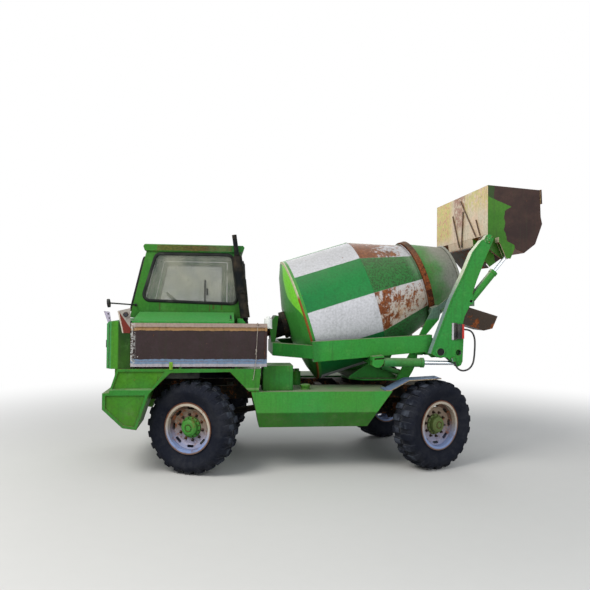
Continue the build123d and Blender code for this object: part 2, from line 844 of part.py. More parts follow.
with BuildPart() as turret:
    with Locations((slew_x, 0, slew_ring_top + slew_gap)):
        Cylinder(slew_ring_radius, turntable_top - slew_ring_top - slew_gap,
                 align=(Align.CENTER, Align.CENTER, Align.MIN))
    plan_slab(base_plan, turntable_top - base_plate_thickness, turntable_top)
    for side in (-1, 1):
        near, far = sorted((side * gusset_inner_y, side * gusset_outer_y))
        side_slab(gusset_outline, near, far)
        near, far = sorted((side * post_inner_y, side * post_outer_y))
        side_slab(post_outline, near, far)
        for y in (tilt_y - 38, tilt_y + 20):
            near, far = sorted((side * y, side * (y + 18)))
            side_slab([(890, turntable_top), (935, 1050), (990, 1050), (990, 1004), (968, turntable_top)],
                      near, far)
        near, far = sorted((side * (tilt_y - 38), side * (tilt_y + 38)))
        cross_pin(*tilt_foot, 14, near, far)
        near, far = sorted((side * 440, side * 640))
        cross_pin(tilt_x, tilt_z, 20 + pin_clearance, near, far, mode=Mode.SUBTRACT)
turret.part.label = "turret"
export_step(turret.part, "parts/turret.step")

# Tilting frame that carries the drum: side beams, cross members, cradle and roller brackets
beam_outline = [(-215, 1215), (1075, 1331), (1160, 1345), (1160, 1530), (-230, 1443)]
lug_outline = [(1075, 1331), (1160, 1500), (1240, 1418), (1296, 1343), (1240, 1275), (1160, 1268)]
nose_plan = [(-205, 860), (-205, 745), (-535, 340), (-535, -340), (-205, -745), (-205, -860),
             (-643, -400), (-643, 400)]
roller_x = drum_end_x + drum_axis_x * ring_station
roller_z = drum_end_z + drum_axis_z * ring_station
roller_reach = ring_radius + roller_radius + 0.5
roller_drop = roller_reach * cos(radians(roller_angle))
roller_y = roller_reach * sin(radians(roller_angle))
roller_x = roller_x + roller_drop * drum_axis_z
roller_z = roller_z - roller_drop * drum_axis_x
bracket_outline = [(1085, 1500), (1160, 1500), (1330, 1700), (1352, 1790), (1320, 1850),
                   (1262, 1842), (1216, 1760)]
bar_outline = [(1285, 1760), (1480, 1925), (1772, 1925), (1772, 1975), (1462, 1975), (1285, 1835)]
roller_plate_y = (roller_y + roller_width / 2 + 12, roller_y + roller_width / 2 + 34)
lift_foot = (489, 1224)
lift_head = (1437, 1214)

with BuildPart() as frame:
    plan_slab(nose_plan, 1250, 1400)
    for side in (-1, 1):
        near, far = sorted((side * beam_inner_y, side * beam_outer_y))
        side_slab(beam_outline, near, far)
        near, far = sorted((side * (beam_outer_y - 30), side * beam_outer_y))
        side_slab(lug_outline, near, far)
        near, far = sorted((side * (beam_outer_y - 30), side * (arm_inner_y - 5)))
        cross_pin(arm_pivot_x, arm_pivot_z, 72, near, far)
        near, far = sorted((side * (beam_outer_y - 30), side * arm_outer_y))
        cross_pin(arm_pivot_x, arm_pivot_z, pivot_tube_radius, near, far)
        cross_pin(arm_pivot_x, arm_pivot_z, pivot_tube_radius - 9, near, far, Mode.SUBTRACT)
        # Brackets under the beam: rest on the turret, foot of the lifting cylinder
        near, far = sorted((side * gusset_inner_y, side * beam_outer_y))
        side_slab([(470, 1181), (470, 1206), (610, 1206), (610, 1181)], near, far)
        near, far = sorted((side * beam_inner_y, side * (beam_inner_y + 24)))
        side_slab([(430, 1181), (430, 1290), (650, 1300), (610, 1181)], near, far)
        for y in (cylinder_y - 46, cylinder_y + 26):
            near, far = sorted((side * y, side * (y + 20)))
            side_slab([(430, 1250), (430, 1190), (470, 1166), (515, 1166), (560, 1215), (560, 1262)],
                      near, far)
        near, far = sorted((side * beam_outer_y, side * (cylinder_y + 46)))
        side_slab([(430, 1268), (430, 1288), (560, 1300), (560, 1280)], near, far)
        side_slab([(430, 1245), (430, 1288), (452, 1290), (452, 1245)], near, far)
        near, far = sorted((side * (cylinder_y - 46), side * (cylinder_y + 46)))
        cross_pin(*lift_foot, 20, near, far)
        # Head brackets of the tilting cylinders
        for y in (tilt_y - 38, tilt_y + 20):
            near, far = sorted((side * y, side * (y + 18)))
            side_slab([(540, 1206), (560, 1150), (585, 1132), (615, 1132), (640, 1150), (640, 1206)],
                      near, far)
        near, far = sorted((side * (tilt_y - 38), side * (tilt_y + 38)))
        cross_pin(*tilt_head, 12, near, far)
        # Hinge lugs on both sides of each turret post
        for y in (post_inner_y - 34, post_outer_y + 6):
            near, far = sorted((side * y, side * (y + 28)))
            side_slab([(1032, 1290), (1032, 1350), (1060, 1366), (1140, 1366), (1140, 1274), (1052, 1274)],
                      near, far)
        near, far = sorted((side * (post_inner_y - 34), side * (post_outer_y + 34)))
        cross_pin(tilt_x, tilt_z, 20, near, far)
        # Roller bracket and the bar that reaches round the mouth
        near, far = sorted((side * roller_plate_y[0], side * roller_plate_y[1]))
        side_slab(bracket_outline, near, far)
        side_slab(bar_outline, near, far)
        near, far = sorted((side * roller_plate_y[0], side * beam_inner_y))
        side_slab([(1090, 1490), (1090, 1510), (1160, 1510), (1160, 1490)], near, far)
        # Cheeks that hold the roller, square to the drum's axis
        for station in (-roller_width / 2 - 18, roller_width / 2 + 6):
            with BuildSketch(cross_plane(ring_station + station)) as cheek:
                with Locations((side * (roller_plate_y[0] - 28), -roller_drop)):
                    Rectangle(60, 76)
                with Locations((side * roller_y, -roller_drop)):
                    Circle(34)
            extrude(cheek.sketch, amount=12)
        with BuildSketch(cross_plane(ring_station - roller_width / 2 - 18)) as roller_pin:
            with Locations((side * roller_y, -roller_drop)):
                Circle(15)
        extrude(roller_pin.sketch, amount=roller_width + 36)
        with BuildSketch(cross_plane(ring_station - roller_width / 2)) as roller:
            with Locations((side * roller_y, -roller_drop)):
                Circle(roller_radius)
        extrude(roller.sketch, amount=roller_width)
    block(1110, 1200, -beam_inner_y, beam_inner_y, 1290, 1385)
    for side in (-1, 1):
        near, far = sorted((side * roller_plate_y[0], side * roller_plate_y[1]))
        block(1732, 1772, near, far, hopper_bottom + 2, 1960)
        near, far = sorted((side * hopper_outer_y, side * roller_plate_y[1]))
        block(1732, 1772, near, far, hopper_bottom + 2, hopper_bottom + 30)
    # Pedestal of the drum drive
    side_slab([(-643, 1390), (-668, 1600), (-600, 1720), (-560, 1720), (-596, 1400)], -190, 190)
    with BuildSketch(cross_plane(-450)) as seat_bore:
        Circle(drive_radius)
    extrude(seat_bore.sketch, amount=300, mode=Mode.SUBTRACT)
frame.part.label = "drum_frame"
export_step(frame.part, "parts/drum_frame.step")

with BuildPart() as drive:
    turned(
        drum_frame_plane,
        drum_axis,
        [
            (-450, 0),
            (-450, 76),
            (-345, 76),
            (-345, drive_radius),
            (-215, drive_radius),
            (-215, 168),
            (-dome_depth - 6, 168),
            (-dome_depth - 6, 40 + pin_clearance),
            (-dome_depth - 60, 40 + pin_clearance),
            (-dome_depth - 60, 0),
        ],
    )
drive.part.label = "drum_drive"
export_step(drive.part, "parts/drum_drive.step")

# Drum: barrel, tapered neck, domed end and the stub that enters the drive
wall_outside = [
    (-dome_depth, dome_hub_radius),
    (-62, 610),
    (0, drum_radius),
    (barrel_length, drum_radius),
    (ring_station - ring_half_width - 14, ring_seat_radius),
    (ring_station + ring_half_width, ring_seat_radius),
    (mouth_station - 30, mouth_radius + 4),
    (mouth_station - 30, mouth_radius + 16),
    (mouth_station, mouth_radius + 16),
]
wall_inside = [
    (mouth_station, mouth_radius - 8),
    (ring_station + ring_half_width - 4, ring_seat_radius - drum_wall),
    (ring_station - ring_half_width - 16, ring_seat_radius - drum_wall),
    (barrel_length - 2, drum_radius - drum_wall),
    (6, drum_radius - drum_wall),
    (-55, 602),
    (-dome_depth + 10, dome_hub_radius),
    (-dome_depth + 10, 0),
]
with BuildPart() as drum:
    turned(
        drum_frame_plane,
        drum_axis,
        [(-dome_depth - 56, 0), (-dome_depth - 56, 40), (-dome_depth, 40)] + wall_outside + wall_inside,
    )
drum.part.label = "drum_shell"
export_step(drum.part, "parts/drum_shell.step")

with BuildPart() as track:
    turned(
        drum_frame_plane,
        drum_axis,
        [
            (ring_station - ring_half_width, ring_seat_radius),
            (ring_station - ring_half_width, ring_radius),
            (ring_station + ring_half_width, ring_radius),
            (ring_station + ring_half_width, ring_seat_radius),
        ],
    )
track.part.label = "roller_ring"
export_step(track.part, "parts/roller_ring.step")


def barrel(foot, head, y, rod, outside, eye, neck, length, eye_width, pin):
    # Cylinder barrel: eye on its foot pin, tube, and a gland round the rod.
    bore = rod + pin_clearance
    start = (foot[0], y, foot[1])
    end = (head[0], y, head[1])
    rod_between(along(start, end, 4), along(start, end, neck + 4), eye_width / 2 - 2)
    rod_between(along(start, end, neck), along(start, end, length), outside)
    rod_between(along(start, end, length - 34), along(start, end, length), outside + 6)
    cross_pin(*foot, eye, y - eye_width / 2, y + eye_width / 2)
    cross_pin(*foot, pin + pin_clearance, y - outside - 8, y + outside + 8, Mode.SUBTRACT)
    rod_between(along(start, end, neck + 10), along(start, end, length + 2), bore, Mode.SUBTRACT)


def ram(foot, head, y, radius, eye, length, eye_width, eye_bore):
    # Chromed rod with the eye at its outer end.
    start = (foot[0], y, foot[1])
    end = (head[0], y, head[1])
    full = (Vector(*end) - Vector(*start)).length
    rod_between(along(start, end, full - length), along(start, end, full), radius)
    cross_pin(*head, eye, y - eye_width / 2, y + eye_width / 2)
    cross_pin(*head, eye_bore, y - eye_width, y + eye_width, Mode.SUBTRACT)


lift_rod_radius = 24
tilt_rod_radius = 16
dump_rod_radius = 20
dump_foot = (1570, 1920)
dump_head = (2015, 2454)
lift_pin_radius = 20
tilt_pin_radius = 14
dump_pin_radius = 16
lift_barrel = dict(outside=50, eye=38, neck=76, length=540, eye_width=44, pin=lift_pin_radius)
tilt_barrel = dict(outside=30, eye=24, neck=62, length=318, eye_width=32, pin=tilt_pin_radius)
dump_barrel = dict(outside=44, eye=36, neck=40, length=450, eye_width=60, pin=dump_pin_radius)
lift_ram = dict(eye=34, length=495, eye_width=42, eye_bore=22)
tilt_ram = dict(eye=26, length=300, eye_width=30, eye_bore=17)
dump_ram = dict(eye=36, length=550, eye_width=42, eye_bore=18)

with BuildPart() as lift_barrels:
    for side in (-1, 1):
        barrel(lift_foot, lift_head, side * cylinder_y, lift_rod_radius, **lift_barrel)
lift_barrels.part.label = "lift_barrels"
export_step(lift_barrels.part, "parts/lift_barrels.step")

with BuildPart() as lift_rods:
    for side in (-1, 1):
        ram(lift_foot, lift_head, side * cylinder_y, lift_rod_radius, **lift_ram)
lift_rods.part.label = "lift_rods"
export_step(lift_rods.part, "parts/lift_rods.step")

with BuildPart() as tilt_barrels:
    for side in (-1, 1):
        barrel(tilt_foot, tilt_head, side * tilt_y, tilt_rod_radius, **tilt_barrel)
tilt_barrels.part.label = "tilt_barrels"
export_step(tilt_barrels.part, "parts/tilt_barrels.step")

with BuildPart() as tilt_rods:
    for side in (-1, 1):
        ram(tilt_foot, tilt_head, side * tilt_y, tilt_rod_radius, **tilt_ram)
tilt_rods.part.label = "tilt_rods"
export_step(tilt_rods.part, "parts/tilt_rods.step")

# Loading arms. Outline from the pivot, sideways and up; the first six are the front edge
arm_points = [
    (-103, -27),
    (-65, 81),
    (127, 589),
    (279, 900),
    (373, 1127),
    (491, 1276),
    (550, 1345),
    (600, 1340),
    (612, 1270),
    (538, 1108),
    (420, 812),
    (372, 668),
    (392, 610),
    (372, 545),
    (349, 541),
    (279, 406),
    (261, 328),
    (268, 135),
    (258, -106),
    (238, -150),
    (200, -168),
    (80, -67),
    (-49, -50),
]
arm_outline = [(arm_pivot_x + x, arm_pivot_z + z) for x, z in arm_points]
flange_front = arm_points[:6]
flange_outline = [(arm_pivot_x + x, arm_pivot_z + z) for x, z in flange_front] + [
    (arm_pivot_x + x - 15, arm_pivot_z + z + 6) for x, z in reversed(flange_front)
]
second_hole = (arm_pivot_x + 210, arm_pivot_z - 7)

# Hose of the lamp, looped down to its fitting on the arm
hose_diameter = 20
hose_route = [
    (1474, -1016, 1600),
    (1528, -1016, 1600),
    (1580, -1016, 1566),
    (1605, -1016, 1500),
    (1608, -1016, 1420),
    (1604, -1016, 1350),
    (1600, -1016, 1288),
    (1586, -1016, 1208),
    (1536, -1016, 1146),
    (1458, -1016, 1128),
    (1390, -1016, 1166),
    (1366, -1016, 1238),
]
cord(hose_route, hose_diameter, "lamp_hose")

with BuildPart() as arms:
    rod_between(hose_route[-1], along(hose_route[-2], hose_route[-1], 120), 22)
    for side in (-1, 1):
        near, far = sorted((side * arm_inner_y, side * arm_outer_y))
        side_slab(arm_outline, near, far)
        cross_pin(arm_pivot_x, arm_pivot_z, 68, near, far)
        near, far = sorted((side * arm_inner_y, side * (arm_outer_y + 6)))
        side_slab(flange_outline, near, far)
        barrel(dump_foot, dump_head, side * cylinder_y, dump_rod_radius, **dump_barrel)
    rod_between((second_hole[0], -arm_inner_y, second_hole[1]),
                (second_hole[0], arm_inner_y, second_hole[1]), cross_tube_radius)
    for side in (-1, 1):
        near, far = sorted((side * (arm_inner_y - 20), side * (arm_outer_y + 20)))
        cross_pin(arm_pivot_x, arm_pivot_z, pivot_tube_radius + pin_clearance, near, far, Mode.SUBTRACT)
        cross_pin(bucket_pin_x, bucket_pin_z, bucket_pin_radius + pin_clearance, near, far, Mode.SUBTRACT)
        near, far = sorted((side * (arm_outer_y - 60), side * (arm_outer_y + 20)))
        cross_pin(*second_hole, 33, near, far, Mode.SUBTRACT)
        # Slot for the eye of the lifting rod
        near, far = sorted((side * (cylinder_y - 31), side * (cylinder_y + 31)))
        block(arm_pivot_x + 50, arm_pivot_x + 320, near, far,
              arm_pivot_z - 280, arm_pivot_z - 45, mode=Mode.SUBTRACT)
        near, far = sorted((side * (cylinder_y + 31), side * (arm_outer_y + 8)))
        cross_pin(*lift_head, 20, near, far)
arms.part.label = "loading_arms"
export_step(arms.part, "parts/loading_arms.step")

with BuildPart() as lamps:
    for side in (-1, 1):
        # reach outwards, X from, X to, Z from, Z to
        for reach, x_low, x_high, z_low, z_high in (
            (8, 1343, 1400, 1480, 1673),
            (34, 1400, 1455, 1492, 1662),
            (40, 1455, 1474, 1496, 1658),
        ):
            near, far = sorted((side * arm_outer_y, side * (arm_outer_y + reach)))
            block(x_low, x_high, near, far, z_low, z_high)
lamps.part.label = "tail_lamps"
export_step(lamps.part, "parts/tail_lamps.step")

# Bucket, as tipped towards the drum
bucket_outline = [
    (1824, 3283),
    (2464, 3242),
    (2476, 2927),
    (2495, 2843),
    (2409, 2602),
    (2272, 2494),
    (2104, 2567),
    (1825, 2700),
]
gate_hinge = (1830, 2584)
gate_pin_radius = 10
bucket_cut = [(1824, 3420), (2459, 3400)] + bucket_outline[2:]
spout_outline = [(1825, 2710), (1842, 2590), (2052, 2355), (2250, 2497), (2104, 2580)]
spout_inside = [(1840, 2720), (1842, 2588), (2040, 2340), (2060, 2352), (2236, 2500), (2104, 2600)]
spout_half_width = 410
lug_strip = [(1712, 2650), (1724, 2590), (1765, 2572), (1980, 2418), (2040, 2416), (2060, 2460),
             (2104, 2567), (1825, 2700), (1774, 2694)]
# Y and Z at the two ends of each stiffener on the back wall
stiffeners = [
    ((229, 3068), (-11, 2620)),
    ((-125, 3073), (-83, 2620)),
    ((-38, 3226), (-532, 2712)),
    ((-530, 2918), (-656, 2712)),
]

with BuildPart() as bucket:
    side_slab(bucket_outline, -bucket_half_width, bucket_half_width)
    side_slab(spout_outline, -spout_half_width, spout_half_width)
    with BuildSketch(Plane.XZ.offset(-bucket_half_width + bucket_wall)) as inside:
        with BuildLine():
            Polyline(*bucket_cut, close=True)
        make_face()
        offset(amount=-bucket_wall, mode=Mode.REPLACE)
    extrude(inside.sketch, amount=2 * (bucket_half_width - bucket_wall), mode=Mode.SUBTRACT)
    side_slab(spout_inside, -spout_half_width + bucket_wall, spout_half_width - bucket_wall,
              mode=Mode.SUBTRACT)
    # Ears for the gate's hinge
    for side in (-1, 1):
        near, far = sorted((side * (spout_half_width - 6), side * (spout_half_width + 2)))
        cross_pin(*gate_hinge, 22, near, far)
        cross_pin(*gate_hinge, gate_pin_radius + pin_clearance, near, far, mode=Mode.SUBTRACT)
    # Cutting edge
    side_slab([(2464, 3246), (2482, 3246), (2490, 3080), (2470, 3080)], -bucket_half_width - 8,
              bucket_half_width + 8)
    for (y1, z1), (y2, z2) in stiffeners:
        with BuildSketch(Plane.YZ.offset(1812)) as strip:
            with BuildLine():
                Polyline((y1 - 11, z1), (y1 + 11, z1), (y2 + 11, z2), (y2 - 11, z2), close=True)
            make_face()
        extrude(strip.sketch, amount=14)
    for side in (-1, 1):
        near, far = sorted((side * (bucket_half_width - 4), side * (arm_inner_y - 6)))
        side_slab(lug_strip, near, far)
        near, far = sorted((side * (bucket_half_width - 4), side * (arm_outer_y + 8)))
        cross_pin(bucket_pin_x, bucket_pin_z, bucket_pin_radius, near, far)
        # Fork round the eye of the dumping rod
        near, far = sorted((side * (arm_inner_y - 10), side * (cylinder_y + 42)))
        side_slab([(1900, 2600), (1900, 2660), (2104, 2567), (2080, 2520)], near, far)
        for y in (cylinder_y - 42, cylinder_y + 28):
            near, far = sorted((side * y, side * (y + 14)))
            side_slab([(1900, 2620), (1990, 2418), (2040, 2416), (2090, 2530)], near, far)
bucket.part.label = "bucket"
export_step(bucket.part, "parts/bucket.step")

with BuildPart() as dump_rods:
    for side in (-1, 1):
        ram(dump_foot, dump_head, side * cylinder_y, dump_rod_radius, **dump_ram)
dump_rods.part.label = "bucket_rods"
export_step(dump_rods.part, "parts/bucket_rods.step")

# Gate that closes the spout, hinged on its upper edge
gate_half_width = spout_half_width - 8
with BuildPart() as gate:
    side_slab([(1829, 2576), (1836, 2582), (2046, 2347), (2037, 2340)], -gate_half_width,
              gate_half_width)
    cross_pin(*gate_hinge, gate_pin_radius, -spout_half_width - 2, spout_half_width + 2)
gate.part.label = "bucket_gate"
export_step(gate.part, "parts/bucket_gate.step")

# Hopper under the mouth and the chute below it
hopper_sides = [
    (1700, hopper_bottom),
    (1712, 1888),
    (1810, 1888),
    (1870, 2090),
    (2010, 2090),
    (1910, 1870),
    (1770, hopper_bottom),
]
with BuildPart() as hopper:
    for side in (-1, 1):
        near, far = sorted((side * hopper_inner_y, side * hopper_outer_y))
        side_slab(hopper_sides, near, far)
    block(1700, 1776, -hopper_inner_y, hopper_inner_y, hopper_bottom, hopper_bottom + 8)
    side_slab([(2010, 2090), (2001, 2090), (1901, 1870), (1910, 1870)],
              -hopper_inner_y, hopper_inner_y)
    with Locations((chute_pin_x, 0, hopper_bottom)):
        Cylinder(chute_pin_radius + pin_clearance, 40, mode=Mode.SUBTRACT)
hopper.part.label = "discharge_hopper"
export_step(hopper.part, "parts/discharge_hopper.step")

chute_outline = [
    (1780, 1766),
    (1846, 1838),
    (1876, 1852),
    (2273, 1736),
    (2205, 1578),
    (2090, 1550),
    (1780, 1640),
]
chute_inside = [(1788, 1900), (1876, 1920), (2300, 1760), (2212, 1586), (2091, 1559), (1788, 1648)]
with BuildPart() as chute:
    side_slab(chute_outline, -170, 170)
    side_slab(chute_inside, -162, 162, mode=Mode.SUBTRACT)
    # Lug and pin that the chute swings on
    block(chute_pin_x - 24, 1782, -30, 30, 1740, 1776)
    with Locations((chute_pin_x, 0, 1750)):
        Cylinder(chute_pin_radius, hopper_bottom + 20 - 1750,
                 align=(Align.CENTER, Align.CENTER, Align.MIN))
chute.part.label = "chute"
export_step(chute.part, "parts/chute.step")
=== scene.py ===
import math

import bmesh
import bpy
from mathutils import Matrix, Vector


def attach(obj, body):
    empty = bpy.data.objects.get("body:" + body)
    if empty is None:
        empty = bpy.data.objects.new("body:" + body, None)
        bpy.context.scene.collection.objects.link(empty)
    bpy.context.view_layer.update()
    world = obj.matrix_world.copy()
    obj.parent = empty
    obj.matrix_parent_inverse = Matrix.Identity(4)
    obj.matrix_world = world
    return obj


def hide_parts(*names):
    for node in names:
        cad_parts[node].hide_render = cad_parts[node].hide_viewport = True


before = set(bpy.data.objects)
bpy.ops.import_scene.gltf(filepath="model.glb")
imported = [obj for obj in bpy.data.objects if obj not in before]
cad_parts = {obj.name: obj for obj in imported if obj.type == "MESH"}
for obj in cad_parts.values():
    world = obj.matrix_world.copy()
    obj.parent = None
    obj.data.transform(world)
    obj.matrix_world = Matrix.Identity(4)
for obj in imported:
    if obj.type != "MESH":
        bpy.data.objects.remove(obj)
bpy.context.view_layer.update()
print("stage 1: frame loaded")


def paint(red, green, blue, alpha=1.0):
    # a screen colour from 0 to 255, as the linear colour that a shader takes
    def linear(part):
        part = part / 255
        return part / 12.92 if part <= 0.04045 else ((part + 0.055) / 1.055) ** 2.4
    return (linear(red), linear(green), linear(blue), alpha)


def operator(operation, reflected=False):
    # what one of Python's signs does between two values, or between a number and a value
    def method(self, other):
        return self.sum(operation, *((other, self) if reflected else (self, other)))
    return method


class Value:
    # one shader socket that Python can do sums with
    def __init__(self, shade, socket):
        self.shade = shade
        self.socket = socket

    def sum(self, operation, *terms):
        return self.shade.node("ShaderNodeMath", {"operation": operation}, dict(enumerate(terms)))

    __add__ = operator("ADD")
    __radd__ = operator("ADD", True)
    __sub__ = operator("SUBTRACT")
    __rsub__ = operator("SUBTRACT", True)
    __mul__ = operator("MULTIPLY")
    __rmul__ = operator("MULTIPLY", True)
    __pow__ = operator("POWER")
    __gt__ = operator("GREATER_THAN")
    __lt__ = operator("LESS_THAN")

    def __neg__(self):
        return self * -1.0

    def __abs__(self):
        return self.sum("ABSOLUTE", self)

    def wave(self, kind="SINE"):
        return self.sum(kind, self)

    def most(self, other):
        return self.sum("MAXIMUM", self, other)

    def ease(self, low, high):
        # 0 below low, 1 above high, smooth between
        settings = {"interpolation_type": "SMOOTHSTEP"}
        return self.shade.node("ShaderNodeMapRange", settings, {0: self, 1: low, 2: high})

    def ramp(self, *stops):
        # stops are pairs of a place from 0 to 1 and a colour
        return self.shade.node("ShaderNodeValToRGB", {"stops": stops}, {0: self})


class Shade:
    # one material or world, its usual coordinates and the one method that adds a node
    def __init__(self, name, kind="materials"):
        self.owner = getattr(bpy.data, kind).new(name)
        self.owner.use_nodes = True
        self.tree = self.owner.node_tree
        self.tree.nodes.clear()
        if kind == "materials":
            self.place = self.node("ShaderNodeTexCoord", output=3)
            self.x, self.y, self.z = self.split(self.place)
            self.nx, self.ny, self.nz = self.split(self.node("ShaderNodeTexCoord", output=1))

    def node(self, kind, settings=None, sockets=None, output=0):
        made = self.tree.nodes.new(kind)
        for key, setting in (settings or {}).items():
            if key == "stops":
                fillRamp(made.color_ramp, setting)
            else:
                setattr(made, key, setting)
        for key, value in (sockets or {}).items():
            if isinstance(value, Value):
                self.tree.links.new(value.socket, made.inputs[key])
            else:
                made.inputs[key].default_value = value
        return Value(self, made.outputs[output]) if made.outputs else None

    def split(self, vector):
        parts = self.node("ShaderNodeSeparateXYZ", None, {0: vector}).socket.node
        return [Value(self, socket) for socket in parts.outputs]

    def blend(self, factor, low, high):
        settings = {"data_type": "RGBA", "clamp_factor": True}
        return self.node("ShaderNodeMix", settings, {0: factor, 6: low, 7: high}, 2)

    def stretched(self, x, y, z):
        return self.node("ShaderNodeMapping", None, {"Vector": self.place, "Scale": (x, y, z)})

    def noise(self, scale, detail=4.0, rough=0.55, twist=0.0, place=None):
        sockets = {"Vector": place or self.place, "Scale": scale, "Detail": detail,
                   "Roughness": rough, "Distortion": twist}
        return self.node("ShaderNodeTexNoise", None, sockets)

    def cells(self, scale):
        return self.node("ShaderNodeTexVoronoi", None, {"Vector": self.place, "Scale": scale})

    def edges(self, radius, low=0.02, high=0.25):
        # 1 along hard edges: how far the rounded normal leans from the true one
        rounded = self.node("ShaderNodeBevel", {"samples": 4}, {"Radius": radius})
        true = self.node("ShaderNodeNewGeometry", output=1)
        same = self.node("ShaderNodeVectorMath", {"operation": "DOT_PRODUCT"}, {0: rounded, 1: true}, 1)
        return rounded, (1.0 - same).ease(low, high)

    def hidden(self, distance):
        # 1 in corners and under overhangs
        return 1.0 - self.node("ShaderNodeAmbientOcclusion", {"samples": 4}, {"Distance": distance}, 1)

    def surface(self, colour, roughness, metallic=0.0, bump=None, depth=0.002, normal=None, **fixed):
        sockets = {"Base Color": colour, "Roughness": roughness, "Metallic": metallic}
        for key, value in fixed.items():
            sockets[key.replace("_", " ")] = value
        if bump is not None:
            relief = {"Height": bump, "Distance": depth, "Strength": 1.0}
            if normal is not None:
                relief["Normal"] = normal
            normal = self.node("ShaderNodeBump", None, relief)
        if normal is not None:
            sockets["Normal"] = normal
        return self.node("ShaderNodeBsdfPrincipled", None, sockets)

    def finish(self, *parts, **fixed):
        self.node("ShaderNodeOutputMaterial", None, {0: self.surface(*parts, **fixed)})
        return self.owner


def fillRamp(ramp, stops):
    while len(ramp.elements) > len(stops):
        ramp.elements.remove(ramp.elements[-1])
    while len(ramp.elements) < len(stops):
        ramp.elements.new(0.5)
    for element, (place, colour) in zip(ramp.elements, stops):
        element.position = place
        element.color = colour


def addObject(name, data):
    made = bpy.data.objects.new(name, data)
    bpy.context.scene.collection.objects.link(made)
    return made


def allRound(steps):
    # the angles of a full turn
    return [math.tau * step / steps for step in range(steps)]


class Piece:
    # collects faces in metres, in the machine's own frame, and becomes one object
    def __init__(self, name):
        self.name = name
        self.mesh = bmesh.new()

    def skin(self, rings, looped=False, capped=True):
        # joins rings of points into a closed form
        made = [[self.mesh.verts.new(spot) for spot in ring] for ring in rings]
        pairs = list(zip(made, made[1:])) + ([(made[-1], made[0])] if looped else [])
        for low, high in pairs:
            for index in range(len(low)):
                after = (index + 1) % len(low)
                self.mesh.faces.new((low[index], low[after], high[after], high[index]))
        if capped and not looped:
            self.mesh.faces.new(list(reversed(made[0])))
            self.mesh.faces.new(made[-1])

    def prism(self, outline, low, high, axes="xz"):
        # an outline on two axes, drawn out along the third
        def spot(first, second, depth):
            return (depth, first, second) if axes == "yz" else (first, depth, second)
        self.skin([[spot(first, second, depth) for first, second in outline] for depth in (low, high)])

    def box(self, xLow, xHigh, yLow, yHigh, zLow, zHigh):
        self.prism([(xLow, zLow), (xHigh, zLow), (xHigh, zHigh), (xLow, zHigh)], yLow, yHigh)

    def lathe(self, origin, axis, profile, steps=32, looped=False):
        # profile: distances along the axis with their radii
        axis = Vector(axis).normalized()
        side = axis.orthogonal().normalized()
        up = axis.cross(side)
        rings = []
        for distance, radius in profile:
            centre = Vector(origin) + axis * distance
            rings.append([centre + (side * math.cos(turn) + up * math.sin(turn)) * radius
                          for turn in allRound(steps)])
        self.skin(rings, looped)

    def rod(self, start, end, radius, steps=16):
        run = Vector(end) - Vector(start)
        self.lathe(start, run, [(0, radius), (run.length, radius)], steps)

    def hoop(self, origin, axis, radius, wire, steps, sides):
        section = [(wire * math.cos(turn), radius + wire * math.sin(turn)) for turn in allRound(sides)]
        self.lathe(origin, axis, section, steps, looped=True)

    def bolt(self, place, axis, size=0.012):
        # washer, six-sided head and the thread's end
        self.lathe(place, axis, [(-0.001, size * 1.25), (size * 0.2, size * 1.25)], 16)
        self.lathe(place, axis, [(size * 0.2, size), (size * 0.85, size), (size * 0.95, size * 0.85)], 6)
        self.lathe(place, axis, [(size * 0.9, size * 0.5), (size * 1.25, size * 0.46)], 10)

    def strip(self, path, normal, section, closed=True):
        # a section of side and outward offsets, led along a path that lies in one plane
        normal = Vector(normal).normalized()
        path = [Vector(spot) for spot in path]
        count = len(path)
        rings = []
        for index, spot in enumerate(path):
            before = path[index - 1] if closed or index else spot
            after = path[(index + 1) % count] if closed or index < count - 1 else spot
            tangent = (after - before).normalized()
            side = normal.cross(tangent)
            rings.append([spot + side * across + normal * out for across, out in section])
        self.skin(rings, looped=closed)

    def tube(self, path, radius, sides=10):
        # a round tube through points, its frame turned as little as it can be
        path = [Vector(spot) for spot in path]
        side = (path[1] - path[0]).orthogonal().normalized()
        rings = []
        for index, spot in enumerate(path):
            tangent = (path[min(index + 1, len(path) - 1)] - path[max(index - 1, 0)]).normalized()
            side = (side - tangent * side.dot(tangent)).normalized()
            up = tangent.cross(side)
            rings.append([spot + (side * math.cos(turn) + up * math.sin(turn)) * radius
                          for turn in allRound(sides)])
        self.skin(rings)

    def done(self, body, material, bevel=0.002, angle=35, slot=None, matrix=None):
        bmesh.ops.recalc_face_normals(self.mesh, faces=self.mesh.faces)
        data = bpy.data.meshes.new(self.name)
        self.mesh.to_mesh(data)
        self.mesh.free()
        made = addObject(self.name, data)
        data.materials.append(material)
        data.shade_smooth()
        data.set_sharp_from_angle(angle=math.radians(angle))
        if matrix is not None:
            # the turn goes into the mesh, so that the piece's own box stays tight
            data.transform(matrix.to_3x3().to_4x4())
            made.location = matrix.translation
        if bevel:
            edge = made.modifiers.new("edge", "BEVEL")
            edge.width = bevel
            edge.segments = 2
            edge.limit_method = "ANGLE"
            edge.angle_limit = math.radians(angle)
        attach(made, body)
        return made


